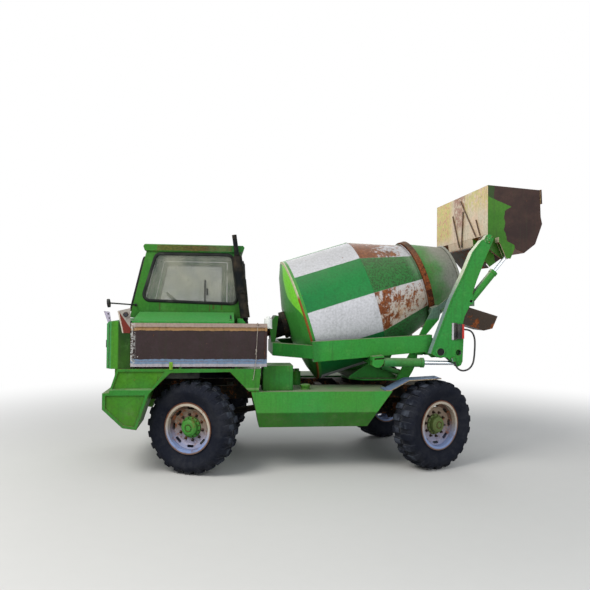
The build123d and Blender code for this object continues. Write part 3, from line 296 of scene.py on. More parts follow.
def roundedLoop(corners, radius, steps=6):
    # a closed outline in two axes with its corners rounded
    points = []
    count = len(corners)
    for index, corner in enumerate(corners):
        corner = Vector(corner)
        before = (Vector(corners[index - 1]) - corner).normalized()
        after = (Vector(corners[(index + 1) % count]) - corner).normalized()
        half = before.angle(after) / 2
        reach = radius / math.tan(half)
        centre = corner + (before + after).normalized() * (radius / math.sin(half))
        first = (corner + before * reach - centre).normalized()
        last = (corner + after * reach - centre).normalized()
        sweep = math.acos(max(-1.0, min(1.0, first.dot(last))))
        for step in range(steps + 1):
            share = sweep * step / steps
            arm = first * math.sin(sweep - share) + last * math.sin(share)
            points.append(centre + arm * (radius / math.sin(sweep)))
    return points


def curvePath(points, steps=8):
    # points along a smooth curve that passes through each given point
    points = [Vector(spot) for spot in points]
    line = [points[0] * 2 - points[1]] + points + [points[-1] * 2 - points[-2]]
    path = []
    for index in range(1, len(line) - 2):
        before, start, end, after = line[index - 1:index + 3]
        for step in range(steps):
            t = step / steps
            path.append(0.5 * (2 * start + (end - before) * t
                               + (2 * before - 5 * start + 4 * end - after) * t ** 2
                               + (3 * start - before - 3 * end + after) * t ** 3))
    return path + [points[-1]]


# colours, given as screen colours
colours = {
    "leafGreen": paint(74, 128, 34),
    "seaGreen": paint(56, 146, 76),
    "paleGreen": paint(112, 170, 92),
    "drumGreen": paint(24, 106, 54),
    "drumWhite": paint(190, 190, 194),
    "rustDark": paint(62, 34, 24),
    "rust": paint(118, 62, 32),
    "rustPale": paint(166, 104, 58),
    "maroon": paint(50, 38, 39),
    "panelTan": paint(150, 116, 78),
    "panelLitTop": paint(150, 132, 122),
    "panelSkyReflection": paint(104, 124, 148),
    "panelWhite": paint(154, 150, 156),
    "cream": paint(196, 182, 156),
    "dust": paint(128, 124, 110),
    "fenderGrey": paint(96, 122, 158),
}


def rustColour(shade, spread):
    return spread.ramp((0.25, colours["rustDark"]), (0.5, colours["rust"]), (0.8, colours["rustPale"]))


def steelPaint(name, colour, rust, dust, chips, fade, grimeAndShade, gloss):
    # old shop paint: uneven patches, runs of dirt, grime and painted shade in corners, chipped edges, rust
    # spots and dust on top
    shade = Shade(name)
    base = colour(shade) if callable(colour) else colour
    broad = shade.noise(0.9, 3.0, 0.6)
    fine = shade.noise(42.0, 6.0, 0.62)
    medium = shade.noise(7.0, 6.0, 0.65)
    rounded, edges = shade.edges(0.006)
    tone = shade.blend(broad.ease(0.42, 0.62) * fade, base, colours["leafGreen"])
    tone = shade.blend(broad.ease(0.52, 0.36) * fade, tone, colours["seaGreen"])
    tone = shade.blend(medium.ease(0.52, 0.72) * fade * 0.55, tone, colours["paleGreen"])
    tone = shade.blend((fine - 0.40).most(0.0) * 0.9, tone, paint(26, 34, 20))
    runs = shade.noise(1.0, 5.0, 0.65, 0.2, shade.stretched(30.0, 30.0, 1.3))
    upright = 1.0 - abs(shade.nz).ease(0.4, 0.8)
    tone = shade.blend(runs.ease(0.50, 0.74) * upright * (0.55 * grimeAndShade), tone, paint(44, 50, 34))
    # painted shade: darker in corners and under overhangs, mixed with grime
    corners = shade.hidden(0.14).ease(0.22, 0.85)
    tone = shade.blend(corners * (medium.ease(0.3, 0.7) * 0.5 + 0.5) * grimeAndShade, tone, paint(34, 36, 26))
    splash = shade.z.ease(0.95, 0.45) * (medium * 0.7 + fine * 0.5).ease(0.45, 0.8)
    tone = shade.blend(splash * 0.45 * grimeAndShade, tone, paint(104, 100, 84))
    spread = medium * 0.6 + shade.noise(2.3, 4.0, 0.7) * 0.5 + edges * 0.10
    spots = spread.ease(0.84 - 0.30 * rust, 0.90 - 0.30 * rust)
    flecks = (fine * 0.8 + medium * 0.4).ease(0.80 - 0.14 * rust, 0.84 - 0.14 * rust)
    chipped = edges * shade.noise(22.0, 5.0, 0.7).ease(0.58 - 0.16 * chips, 0.64 - 0.16 * chips)
    worn = spots.most(chipped).most(flecks * 0.8)
    tone = shade.blend(worn, tone, rustColour(shade, shade.noise(30.0, 5.0, 0.7)))
    settled = shade.nz.ease(0.3, 0.9) * (medium.ease(0.25, 0.6) * 0.5 + 0.5) * dust
    tone = shade.blend(settled, tone, colours["dust"])
    roughness = gloss + worn * 0.4 + settled * 0.4 + (fine - 0.5) * 0.2
    height = fine * 0.12 + medium * 0.5 - worn * (0.25 + fine * 0.5)
    return shade.finish(tone, roughness, 0.0, height, 0.0018, rounded, Specular_IOR_Level=0.14)


def darkSteel(name, colour, rust):
    shade = Shade(name)
    rounded, edges = shade.edges(0.006)
    medium = shade.noise(6.0, 6.0, 0.65)
    fine = shade.noise(60.0, 5.0, 0.6)
    tone = shade.blend(medium.ease(0.4, 0.7) * 0.7, colour, paint(70, 60, 48))
    rusty = (medium * 0.7 + fine * 0.4 + edges * 0.1).ease(0.66 - 0.2 * rust, 0.76 - 0.2 * rust)
    tone = shade.blend(rusty * 0.8, tone, rustColour(shade, fine))
    tone = shade.blend(shade.nz.ease(0.3, 0.9) * 0.5, tone, paint(92, 86, 74))
    return shade.finish(tone, 0.6 + fine * 0.35, 0.15, medium + fine * 0.3, 0.002, rounded,
                        Specular_IOR_Level=0.1)


def assign(material, *nodes):
    for node in nodes:
        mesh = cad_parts[node].data
        mesh.materials.clear()
        mesh.materials.append(material)


print("stage 2: shader tools ready")

# the camera stands where the photograph's did
view = {
    "place": (-1.197, -7.553, 1.88),
    "heading": math.radians(6.5),
    "pitch": math.radians(0.76),
    "roll": math.radians(0.6),
    "sensor": 36.0,
    "focus": 600 / 590,
}
ahead = Vector((
    math.sin(view["heading"]) * math.cos(view["pitch"]),
    math.cos(view["heading"]) * math.cos(view["pitch"]),
    math.sin(view["pitch"]),
))
level = ahead.cross(Vector((0, 0, 1))).normalized()
above = level.cross(ahead)
right = level * math.cos(view["roll"]) + above * math.sin(view["roll"])
above = right.cross(ahead)
cameraData = bpy.data.cameras.new("camera")
cameraData.lens = view["sensor"] * view["focus"]
cameraData.sensor_width = view["sensor"]
camera = addObject("camera", cameraData)
turn = Matrix((right, above, -ahead)).transposed()
camera.matrix_world = Matrix.Translation(view["place"]) @ turn.to_4x4()
bpy.context.scene.camera = camera

studio = {
    "floorSize": 80.0,
    "floorColour": paint(196, 195, 192),
    "worldColour": paint(226, 232, 240),
    "worldStrength": 0.60,
    # name, place, aim, size, power, colour
    "lamps": [
        ("key", (-6.5, -5.0, 8.0), (0.0, 0.0, 1.2), 5.0, 900.0, (1.0, 0.98, 0.94)),
        ("fill", (4.0, -9.0, 5.0), (0.0, 0.0, 1.2), 6.0, 330.0, (0.94, 0.97, 1.0)),
        ("back", (1.0, 8.0, 6.0), (0.0, 0.0, 1.5), 6.0, 300.0, (1.0, 1.0, 1.0)),
    ],
}


def addLamp(name, place, aim, size, power, colour):
    data = bpy.data.lights.new(name, "AREA")
    data.size = size
    data.energy = power
    data.color = colour
    lamp = addObject(name, data)
    lamp.location = place
    lamp.rotation_euler = (Vector(aim) - Vector(place)).to_track_quat("-Z", "Y").to_euler()


for lamp in studio["lamps"]:
    addLamp(*lamp)

# lit by a plain sky, and white behind the machine and in what it mirrors
sky = Shade("studio", "worlds")
bpy.context.scene.world = sky.owner
rays = [sky.node("ShaderNodeLightPath", output=name)
        for name in ("Is Camera Ray", "Is Glossy Ray", "Is Transmission Ray")]
lit, white = [sky.node("ShaderNodeBackground", None, {0: colour, 1: strength}) for colour, strength in (
    (studio["worldColour"], studio["worldStrength"]), ((1.0, 1.0, 1.0, 1.0), 1.0))]
seen = rays[0].most(rays[1]).most(rays[2])
both = sky.node("ShaderNodeMixShader", None, {0: seen, 1: lit, 2: white})
sky.node("ShaderNodeOutputWorld", None, {0: both})

floorMesh = bpy.data.meshes.new("floor")
half = studio["floorSize"] / 2
corners = [(-half, -half, 0), (half, -half, 0), (half, half, 0), (-half, half, 0)]
floorMesh.from_pydata(corners, [], [(0, 1, 2, 3)])
floor = addObject("floor", floorMesh)
ground = Shade("floorFinish")
floorTone = ground.blend(ground.noise(6.0, 6.0, 0.6) * 0.25, studio["floorColour"], paint(184, 183, 180))
plain = ground.surface(floorTone, 0.9, Specular_IOR_Level=0.1)
# the floor fades into the white behind it, away from the machine
reach = (ground.x * ground.x + ground.y * ground.y) ** 0.5
glow = ground.node("ShaderNodeEmission", None, {0: (1.0, 1.0, 1.0, 1.0), 1: 1.0})
faded = ground.node("ShaderNodeMixShader", None, {0: reach.ease(3.2, 8.5), 1: plain, 2: glow})
ground.node("ShaderNodeOutputMaterial", None, {0: faded})
floorMesh.materials.append(ground.owner)

bpy.context.scene.view_settings.view_transform = "Standard"
print("stage 3: camera, lamps and floor")


# the colours of the painted parts, from the cab to the bucket
drips = {
    # X, top, bottom and half width of each rust run under the near window
    "runs": [(-1.973, 1.885, 1.782, 0.008), (-1.765, 1.875, 1.850, 0.007), (-1.395, 1.870, 1.770, 0.008),
             (-1.350, 1.865, 1.795, 0.020), (-1.253, 1.865, 1.790, 0.012), (-1.150, 1.862, 1.835, 0.008)],
    # the weathered band along the roof's near edge
    "bandX": (-2.008, -1.140),
    "bandZ": (2.478, 2.542),
}


def cabColour(shade):
    near = shade.ny.ease(-0.3, -0.6)
    ragged = (shade.noise(22.0, 5.0, 0.7) - 0.5) * 0.03
    (xLow, xHigh), (zLow, zHigh) = drips["bandX"], drips["bandZ"]
    x = shade.x + ragged
    inside = x.ease(xLow - 0.004, xLow + 0.004) * x.ease(xHigh + 0.004, xHigh - 0.004)
    inside = inside * (shade.z + ragged * 0.4).ease(zLow - 0.003, zLow + 0.003) * (shade.z < zHigh)
    flakes = shade.noise(1.0, 6.0, 0.75, 0.2, shade.stretched(38.0, 38.0, 90.0))
    brown = flakes.ramp((0.38, paint(38, 28, 22)), (0.52, paint(78, 50, 34)), (0.68, paint(116, 88, 44)))
    # painted light: faces turned ahead are a lighter green, the near side a darker one
    tone = shade.blend((-shade.nx).ease(0.4, 0.8), paint(38, 102, 34), paint(62, 124, 42))
    tone = shade.blend(inside * near, tone, brown)
    total = 0.0
    for x, top, bottom, wide in drips["runs"]:
        across = (wide - abs(shade.x - x + ragged * 0.2)).ease(0.0, wide * 0.8)
        total = across * (shade.z > bottom) * (shade.z < top) + total
    return shade.blend(total * near * 0.85, tone, paint(66, 44, 22))


def panelColour(shade):
    # two-tone strips above and below a dark field, speckled at the front edge; the upper strip has painted
    # light on its top, the lower one a painted sky reflection
    ragged = (shade.noise(16.0, 6.0, 0.7) - 0.5) * 0.030
    z = shade.z + ragged
    wide = shade.noise(5.0, 6.0, 0.7)
    fine = shade.noise(46.0, 6.0, 0.7)
    field = shade.blend(wide.ease(0.4, 0.7) * 0.5, colours["maroon"], paint(62, 50, 54))
    field = shade.blend(fine.ease(0.64, 0.70) * 0.5, field, paint(104, 74, 56))
    # painted light: the upper strip is tan in shade and pink where its top face catches light
    top = shade.blend(z.ease(1.600, 1.612), colours["panelTan"], colours["panelLitTop"])
    # painted reflection: the lower strip is pale blue where it reflects the sky, whitish at its lip
    bottom = shade.blend(z.ease(1.208, 1.216), colours["panelWhite"], colours["panelSkyReflection"])
    upper, lower = z.ease(1.566, 1.571), z.ease(1.264, 1.259)
    tone = shade.blend(upper, field, top)
    tone = shade.blend(z.ease(1.562, 1.566) * z.ease(1.572, 1.568) * 0.7, tone, paint(34, 28, 26))
    tone = shade.blend(lower, tone, bottom)
    edge = shade.x.ease(-2.150, -2.185)
    tone = shade.blend(edge * fine.ease(0.46, 0.54), tone, paint(176, 176, 172))
    dots = shade.cells(26.0).ease(0.16, 0.10) * z.ease(1.34, 1.28) * shade.x.ease(-1.95, -2.05)
    tone = shade.blend(dots, tone, paint(190, 184, 176))
    worn = (fine * 0.6 + wide * 0.5).ease(0.62, 0.70) * lower.most(upper)
    return shade.blend(worn * 0.7, tone, paint(108, 84, 64))


def tankColour(shade):
    # painted shade: the lower part, which faces down, is darker
    return shade.blend(shade.z.ease(0.69, 0.66), paint(54, 138, 54), paint(36, 106, 30))


def noseColour(shade):
    # the folded rims are cooler than the recessed panels behind them
    rim = (-abs(shade.y)).ease(-0.988, -0.996)
    wide = shade.noise(3.0, 4.0, 0.6)
    recess = shade.blend(wide.ease(0.4, 0.65) * 0.6, paint(60, 118, 20), paint(50, 108, 26))
    ledge = shade.z.ease(0.955, 0.945) * shade.z.ease(0.925, 0.935)
    tone = shade.blend(rim, recess, paint(46, 116, 38))
    return shade.blend(ledge * wide.ease(0.35, 0.6) * 0.6, tone, paint(124, 150, 104))


def hoodColour(shade):
    # the near side is darker than the front, which is painted shade, with a yellow-green band on the corner
    # fold
    side = abs(shade.ny).ease(0.85, 0.98)
    tone = shade.blend(side, paint(36, 122, 62), paint(12, 40, 8))
    band = side * shade.x.ease(-2.330, -2.350)
    tone = shade.blend(band, tone, paint(62, 126, 34))
    return shade.blend(side * shade.x.ease(-2.432, -2.446), tone, paint(40, 128, 84))


def armColour(shade):
    # the plates are green; the flange that faces ahead is pale grey, partly dust and partly painted light
    # on its lit face
    flange = shade.blend(shade.z.ease(1.9, 2.3), paint(128, 142, 146), paint(206, 210, 184))
    return shade.blend((-shade.nx).ease(0.5, 0.8), paint(38, 126, 46), flange)


def frameColour(shade):
    # a green frame whose roller brackets are bare grey
    bracket = shade.x.ease(1.02, 1.08) * (shade.z - shade.x * 0.10).ease(1.56, 1.60)
    green = shade.blend(shade.x.ease(-0.10, -0.18), paint(42, 128, 44), paint(34, 104, 34))
    return shade.blend(bracket, green, paint(96, 110, 108))


def fenderColour(shade):
    # blue-grey on top, with a crusted edge
    fine = shade.noise(32.0, 6.0, 0.75)
    crust = fine.ramp((0.40, paint(84, 62, 44)), (0.52, paint(148, 136, 112)), (0.64, paint(176, 168, 150)))
    return shade.blend(abs(shade.ny).ease(0.6, 0.8), colours["fenderGrey"], crust)


plates = {
    # X, Z and radius of each disc
    "lamp": (-2.262, 1.738, 0.020),
    "holes": [(-2.456, 1.742, 0.009), (-2.444, 1.698, 0.008)],
    "lampFaceY": -0.9895,
    "bracketX": -2.40,
    "rodY": -0.925,
    "rodZ": 1.812,
}


def platesColour(shade):
    # a red and cream plate with its round lamp, a pale bracket with two holes, a dark rod and mirror
    def disc(x, z, radius):
        return ((shade.x - x) * (shade.x - x) + (shade.z - z) * (shade.z - z)) ** 0.5 < radius
    fine = shade.noise(40.0, 5.0, 0.7)
    ragged = (fine - 0.5) * 0.02
    red = (shade.z + shade.x * 1.45 + ragged).ease(-1.612, -1.620)
    tone = shade.blend(red, paint(150, 144, 136), paint(104, 40, 32))
    border = (shade.x + shade.z * 0.221 + ragged * 0.3).ease(-1.942, -1.946)
    tone = shade.blend(border, tone, paint(186, 178, 164))
    lamp = shade.blend(disc(*plates["lamp"]), paint(24, 25, 28), paint(52, 54, 60))
    tone = shade.blend(shade.y < plates["lampFaceY"], tone, lamp)
    tone = shade.blend(fine.ease(0.60, 0.68) * 0.7, tone, colours["rust"])
    first, second = [disc(*hole) for hole in plates["holes"]]
    pale = shade.blend(first.most(second), paint(162, 156, 172), paint(20, 20, 22))
    tone = shade.blend(shade.x < plates["bracketX"], tone, pale)
    return shade.blend((shade.y > plates["rodY"]).most(shade.z > plates["rodZ"]), tone, paint(34, 36, 38))


# the drum, with its ten painted sectors
drum = {
    "origin": (-0.291, 0.0, 1.66),
    "angle": math.radians(17.58),
    "barrelEnd": 0.858,
    "ringStation": 1.564,
    "mouthStation": 2.06,
    "radius": 0.770,
    "ringSeat": 0.540,
    "mouthRadius": 0.363,
    "sectors": 10,
    "phase": math.radians(7.0),
    "bandEnd": 0.045,
}
drumCos, drumSin = math.cos(drum["angle"]), math.sin(drum["angle"])


def drumPlace(shade):
    # distance along the drum's axis, distance from it, and the angle round it
    x = shade.x - drum["origin"][0]
    z = shade.z - drum["origin"][2]
    station = x * drumCos + z * drumSin
    up = z * drumCos - x * drumSin
    around = up.sum("ARCTAN2", up, -shade.y)
    return station, up, around


def drumColour(shade):
    station, up, around = drumPlace(shade)
    wobble = (shade.noise(5.0, 3.0) - 0.5) * 0.012
    swing = (around + wobble - drum["phase"]) * (drum["sectors"] / 2)
    green = swing.wave().ease(-0.03, 0.03)
    tail = (station > drum["ringStation"]).most(station < drum["bandEnd"])
    green = green.most(tail)
    cone = station.ease(drum["barrelEnd"] - 0.004, drum["barrelEnd"] + 0.004) * (1.0 - tail)
    fine = shade.noise(48.0, 7.0, 0.7)
    cloud = shade.noise(1.6, 4.0).ease(0.3, 0.7) * 0.4
    greenTone = shade.blend(cloud, colours["drumGreen"], paint(40, 130, 60))
    coneGreen = shade.blend(fine.ease(0.42, 0.60), paint(52, 116, 56), paint(50, 54, 34))
    faded = (station + shade.noise(6.0, 4.0) * 0.08).ease(1.42, 1.56) * around.ease(-0.1, 0.5)
    coneGreen = shade.blend(faded * 0.6, coneGreen, paint(132, 152, 128))
    greenTone = shade.blend(cone * 0.75, greenTone, coneGreen)
    cloud = shade.noise(9.0, 6.0, 0.7).ease(0.4, 0.65)
    tailGreen = shade.blend(cloud, paint(62, 132, 58), paint(84, 120, 70))
    tailGreen = shade.blend(station < drum["bandEnd"], tailGreen, paint(60, 134, 56))
    # a lime crescent of painted sunlight on the end, below its top edge
    turned = (around - 0.733) * 2.31
    bulge = turned.wave("COSINE").most(0.0) * (abs(turned) < 1.57)
    spread = (up * up + shade.y * shade.y) ** 0.5
    sunlitCrescent = (spread + bulge * 0.26).ease(0.772, 0.784) * (bulge > 0.02) * (station < -0.004)
    tailGreen = shade.blend(sunlitCrescent, tailGreen, paint(122, 208, 62))
    greenTone = shade.blend(tail, greenTone, tailGreen)
    tone = shade.blend(green, colours["drumWhite"], greenTone)
    # big rust blotches near the barrel thin out to specks towards the ring
    patches = shade.noise(7.5, 8.0, 0.72, 0.3)
    drips = shade.noise(1.0, 5.0, 0.6, 0.1, shade.stretched(24.0, 24.0, 3.0))
    onward = station.ease(drum["barrelEnd"], drum["ringStation"])
    low = around.ease(0.3, -0.3)
    high = around.ease(0.6, 0.9)
    rusty = patches * 0.8 + drips * 0.25 + shade.noise(2.2, 2.0) * 0.2 - onward * 0.15 + high * 0.05
    rusty = rusty.ease(0.555, 0.62) * cone
    specks = (shade.noise(26.0, 6.0, 0.7) * 0.8 + patches * 0.3 - onward * 0.02).ease(0.565, 0.61) * cone
    streaks = (drips + shade.noise(60.0, 2.0) * 0.2).ease(0.60, 0.70) * low * cone * (1.0 - onward)
    onWhite = rusty.most(specks * 0.85) * (1.0 - green)
    cream = shade.blend(cone * low, tone, paint(186, 174, 160))
    tone = shade.blend(1.0 - green, tone, cream)
    tone = shade.blend(streaks * 0.7 * (1.0 - green), tone, paint(176, 128, 72))
    tone = shade.blend(onWhite, tone, rustColour(shade, shade.noise(26.0, 5.0, 0.7)))
    # the weld line round the base, cream above and rusty below
    line = (0.013 - abs(station - 0.003)).ease(0.0, 0.003)
    weld = shade.blend(around.ease(0.35, 0.45), paint(140, 82, 40), paint(186, 184, 150))
    tone = shade.blend(line, tone, weld)
    drops = shade.cells(9.0).ease(0.10, 0.04) * (shade.noise(2.0, 2.0) > 0.62)
    tone = shade.blend(drops * (1.0 - cone), tone, colours["rust"])
    crust = (station + shade.noise(4.0, 6.0) * 0.35).ease(1.83, 2.12)
    tone = shade.blend(crust, tone, shade.blend(fine, paint(120, 124, 112), paint(158, 158, 150)))
    return tone


# the bucket: green and maroon sides, a pale back wall with blotches, rust inside
bucket = {
    # the green's edge on the side, where it leaves it at the bottom and the top, and its peak
    "edgeX": 2.030,
    "lowZ": 2.747,
    "tipZ": 2.985,
    "peak": (1.841, 3.145),
    "cornerX": 1.90,
    # the stiffening bars stand behind this X and above this Z
    "bars": (1.8225, 2.60),
}


def bucketColour(shade):
    side = abs(shade.ny).ease(0.6, 0.8)
    back = (-shade.nx).ease(0.6, 0.8)
    ragged = (shade.noise(14.0, 5.0) - 0.5) * 0.05
    fine = shade.noise(24.0, 6.0, 0.7)
    wide = shade.noise(2.6, 5.0, 0.7)
    # the green runs up the side from the hinge to a point
    limit = (bucket["lowZ"] - shade.z).most(0.0) * 0.3 + bucket["edgeX"]
    limit = limit + (shade.z - bucket["tipZ"]).most(0.0) * 1.6 + ragged
    peakX, peakZ = bucket["peak"]
    top = peakZ - (shade.x - peakX) * 0.40 + ragged * 0.4
    green = (shade.x < limit) * (shade.z < top)
    # painted shade: the side's top corner above the green is dark green
    shadedCorner = (shade.x + ragged < bucket["cornerX"]) * (shade.z > top)
    brown = shade.blend(wide.ease(0.4, 0.7), paint(44, 27, 26), paint(62, 42, 36))
    leaf = shade.blend(wide.ease(0.4, 0.6) * 0.6, paint(50, 104, 22), paint(66, 116, 34))
    sideTone = shade.blend(shadedCorner, shade.blend(green, brown, leaf), paint(44, 66, 28))
    # the back wall: cream, yellow and orange at its far side, browner up its middle
    backTone = shade.blend(wide.ease(0.45, 0.6), colours["cream"], paint(206, 180, 152))
    blotch = shade.noise(16.0, 7.0, 0.75)
    mottle = blotch.ramp((0.40, paint(176, 120, 66)), (0.48, paint(204, 170, 92)),
                         (0.56, paint(176, 178, 62)))
    far = (shade.y + ragged).ease(0.18, 0.42) * 0.85
    upper = shade.z.ease(2.95, 3.15) * shade.y.ease(0.1, -0.2) * blotch.ease(0.40, 0.52) * 0.6
    backTone = shade.blend(far.most(upper) * shade.z.ease(2.66, 2.85), backTone, mottle)
    middle = shade.y.ease(-0.22, -0.12) * shade.y.ease(0.26, 0.14) * shade.z.ease(2.78, 2.95)
    backTone = shade.blend(middle * blotch.ease(0.38, 0.54), backTone, paint(146, 104, 82))
    backTone = shade.blend(fine.ease(0.62, 0.70) * 0.7, backTone, paint(120, 92, 66))
    tone = shade.blend(side, colours["rust"], sideTone)
    tone = shade.blend(back, tone, backTone)
    bars = (shade.x < bucket["bars"][0]) * (shade.z > bucket["bars"][1])
    barTone = shade.blend(fine.ease(0.4, 0.6), paint(74, 52, 42), paint(112, 84, 60))
    return shade.blend(bars, tone, barTone)


def plainGlass():
    shade = Shade("cabGlass")
    film = shade.noise(3.0, 6.0, 0.65)
    tone = shade.blend(film.ease(0.3, 0.7), paint(104, 112, 104), paint(146, 146, 130))
    return shade.finish(tone, 0.08 + film * 0.25, 0.0, Alpha=film.ease(0.2, 0.9) * 0.35 + 0.3)


def chromeRod():
    shade = Shade("chromeRod")
    film = shade.noise(12.0, 5.0, 0.6)
    tone = shade.blend(film.ease(0.5, 0.8) * 0.6, paint(196, 202, 208), paint(110, 96, 82))
    return shade.finish(tone, 0.16 + film * 0.25, 1.0)


def lampColour(shade):
    # a dark side with a pale end plate, and a red lens that faces back
    plate = shade.blend(shade.x < 1.364, paint(26, 26, 28), paint(176, 174, 178))
    return shade.blend((shade.x > 1.450).most(shade.nx.ease(0.5, 0.7)), plate, paint(176, 40, 30))


def mouldedPlastic(name, colour, roughness):
    shade = Shade(name)
    colour = colour(shade) if callable(colour) else colour
    rounded, edges = shade.edges(0.003)
    fine = shade.noise(140.0, 4.0, 0.6)
    wide = shade.noise(5.0, 5.0, 0.6)
    tone = shade.blend(wide.ease(0.4, 0.75) * 0.35, colour, colours["dust"])
    tone = shade.blend(edges * 0.25, tone, paint(150, 146, 138))
    return shade.finish(tone, roughness + fine * 0.15, 0.0, fine, 0.0004, rounded, Specular_IOR_Level=0.25)


paints = {
    # colour, rust, dust, chips, fade, grime and painted corner shade, gloss, and the nodes that it is on
    "bodyPaint": (noseColour, 0.12, 0.45, 0.6, 0.2, 0.6, 0.45,
                  "front_body_left front_body_right front_panel"),
    "hoodPaint": (hoodColour, 0.12, 0.3, 0.7, 0.25, 0.6, 0.45, "front_hood"),
    "tankPaint": (tankColour, 0.10, 0.75, 0.6, 0.25, 0.6, 0.45, "side_tanks"),
    "boxPaint": (paint(36, 100, 28), 0.15, 0.5, 0.6, 0.3, 0.6, 0.45, "tool_box"),
    "cabPaint": (cabColour, 0.16, 0.35, 0.5, 0.25, 0.6, 0.45, "cab_shell cab_roof cab_door"),
    "lidPaint": (paint(48, 136, 58), 0.10, 0.12, 0.5, 0.15, 0.6, 0.45, "engine_bay engine_lid"),
    "armPaint": (armColour, 0.12, 0.3, 0.7, 0.2, 0.6, 0.45, "loading_arms"),
    "framePaint": (frameColour, 0.16, 0.6, 0.6, 0.2, 0.6, 0.45, "drum_frame turret discharge_hopper"),
    "ramPaint": (paint(46, 114, 58), 0.2, 0.4, 0.5, 0.3, 0.6, 0.45, "lift_barrels tilt_barrels"),
    "panelPaint": (panelColour, 0.15, 0.2, 0.9, 0.0, 0.5, 0.45, "engine_side_panel"),
    "greyPaint": (fenderColour, 0.3, 0.2, 1.0, 0.0, 0.6, 0.45, "rear_fenders"),
    "platesPaint": (platesColour, 0.1, 0.2, 0.6, 0.0, 0.5, 0.45, "nose_plates"),
    "drumPaint": (drumColour, 0.02, 0.25, 0.25, 0.0, 0.35, 0.42, "drum_shell"),
    "bucketPaint": (bucketColour, 0.3, 0.3, 0.8, 0.0, 0.6, 0.45, "bucket"),
    "brownSteel": (paint(60, 48, 40), 0.8, 0.3, 0.8, 0.0, 0.6, 0.45, "bucket_gate chute"),
    "clipPaint": (paint(112, 158, 46), 0.2, 0.3, 0.5, 0.0, 0.6, 0.45, ""),
}
steels = {
    # colour, rust and nodes
    "chassisSteel": (paint(24, 24, 24), 0.4, "chassis_frame front_axle rear_axle drive_line drum_drive "
                     "knuckle_front_left knuckle_front_right knuckle_rear_left knuckle_rear_right"),
    "ringSteel": (paint(58, 30, 20), 0.9, "roller_ring"),
    "stackSteel": (paint(16, 20, 22), 0.0, "exhaust_stack"),
    "nutSteel": (paint(44, 36, 32), 0.3, ""),
    "bladeSteel": (paint(96, 86, 72), 1.1, ""),
}
plastics = {
    # colour, roughness and nodes
    "blackPlastic": (paint(30, 31, 33), 0.5, "dashboard"),
    "whitePlastic": (paint(214, 216, 212), 0.4, "fluid_bottle"),
    "lampFaces": (lampColour, 0.3, "tail_lamps"),
    "seatVinyl": (paint(40, 39, 40), 0.55, "seat"),
}
finishes = {}
for make, table in ((steelPaint, paints), (darkSteel, steels), (mouldedPlastic, plastics)):
    for name, (*settings, nodes) in table.items():
        finishes[name] = make(name, *settings)
        assign(finishes[name], *nodes.split())
assign(plainGlass(), "cab_glass", "cab_door_glass")
assign(chromeRod(), "lift_rods", "tilt_rods", "bucket_rods")
print("stage 4: finishes on the frame")


# tyres: a carcass with two staggered rows of lugs, and the studs and bolts of the wheel
wheels = {
    # corner, kingpin X, side, parked steering angle
    "corners": [
        ("front_left", -1.468, -1, -24.5),
        ("front_right", -1.468, 1, -24.5),
        ("rear_left", 1.101, -1, 24.5),
        ("rear_right", 1.101, 1, 24.5),
    ],
    "kingpinY": 0.638,
    "axleHeight": 0.505,
    "offset": 0.2,
    "lugs": 23,
    # half widths of a lug, as shares of the pitch
    "lugTop": 0.235,
    "lugFoot": 0.30,
    "nuts": 10,
    # reach and radius of the circles of nuts and bolts
    "nutCircle": (0.036, 0.140),
    "hubBolts": 12,
    "capCircle": (0.113, 0.03685),
    "hubCircle": (0.052, 0.103),
}
# reach from the middle plane and radius, from the crown out to the bead
tyreHalf = [(0.05, 0.4775), (0.112, 0.475), (0.130, 0.466), (0.148, 0.447), (0.161, 0.424), (0.1645, 0.405),
            (0.162, 0.392), (0.148, 0.360), (0.124, 0.318), (0.115, 0.300), (0.115, 0.2545)]
tyreSection = [(-reach, radius) for reach, radius in reversed(tyreHalf)] + [(0.0, 0.478)] + tyreHalf
# reach from the middle plane, radius of the lug's top, radius inside the carcass, width of the top
lugLine = [(0.007, 0.503, 0.468, 0.84), (0.03, 0.5045, 0.468, 0.92), (0.07, 0.5035, 0.468, 1.0),
           (0.106, 0.501, 0.466, 1.04), (0.120, 0.496, 0.460, 1.04), (0.138, 0.472, 0.440, 1.0),
           (0.157, 0.438, 0.420, 0.9), (0.162, 0.424, 0.412, 0.8)]


def wheelMatrix(kingpinX, side, steer):
    # X ahead in the wheel's plane, Y outboard along the axle, Z up
    angle = math.radians(steer)
    outboard = Vector((-side * math.sin(angle), side * math.cos(angle), 0))
    onward = outboard.cross(Vector((0, 0, 1)))
    matrix = Matrix((onward, outboard, Vector((0, 0, 1)))).transposed().to_4x4()
    kingpin = Vector((kingpinX, side * wheels["kingpinY"], wheels["axleHeight"]))
    matrix.translation = kingpin + outboard * wheels["offset"]
    return matrix


def around(reach, radius, turn):
    return Vector((radius * math.cos(turn), reach, radius * math.sin(turn)))


def makeTyre(corner, matrix, material):
    tyre = Piece(f"lugged_tyre_{corner}")
    tyre.lathe((0, 0, 0), (0, 1, 0), tyreSection, 138, looped=True)
    pitch = math.tau / wheels["lugs"]
    for side in (-1, 1):
        for count in range(wheels["lugs"]):
            middle = pitch * (count + (0.5 if side > 0 else 0.0)) + math.pi / 2
            rings = []
            for reach, top, foot, wide in lugLine:
                halfTop, halfFoot = pitch * wheels["lugTop"] * wide, pitch * wheels["lugFoot"] * wide
                rings.append([around(side * reach, radius, middle + off) for radius, off in (
                    (foot, -halfFoot), (top, -halfTop), (top, 0.0), (top, halfTop), (foot, halfFoot))])
            tyre.skin(rings)
    made = tyre.done(f"wheel_{corner}", material, bevel=0.003, angle=30, slot="tyre", matrix=matrix)
    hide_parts(f"tyre_{corner}")


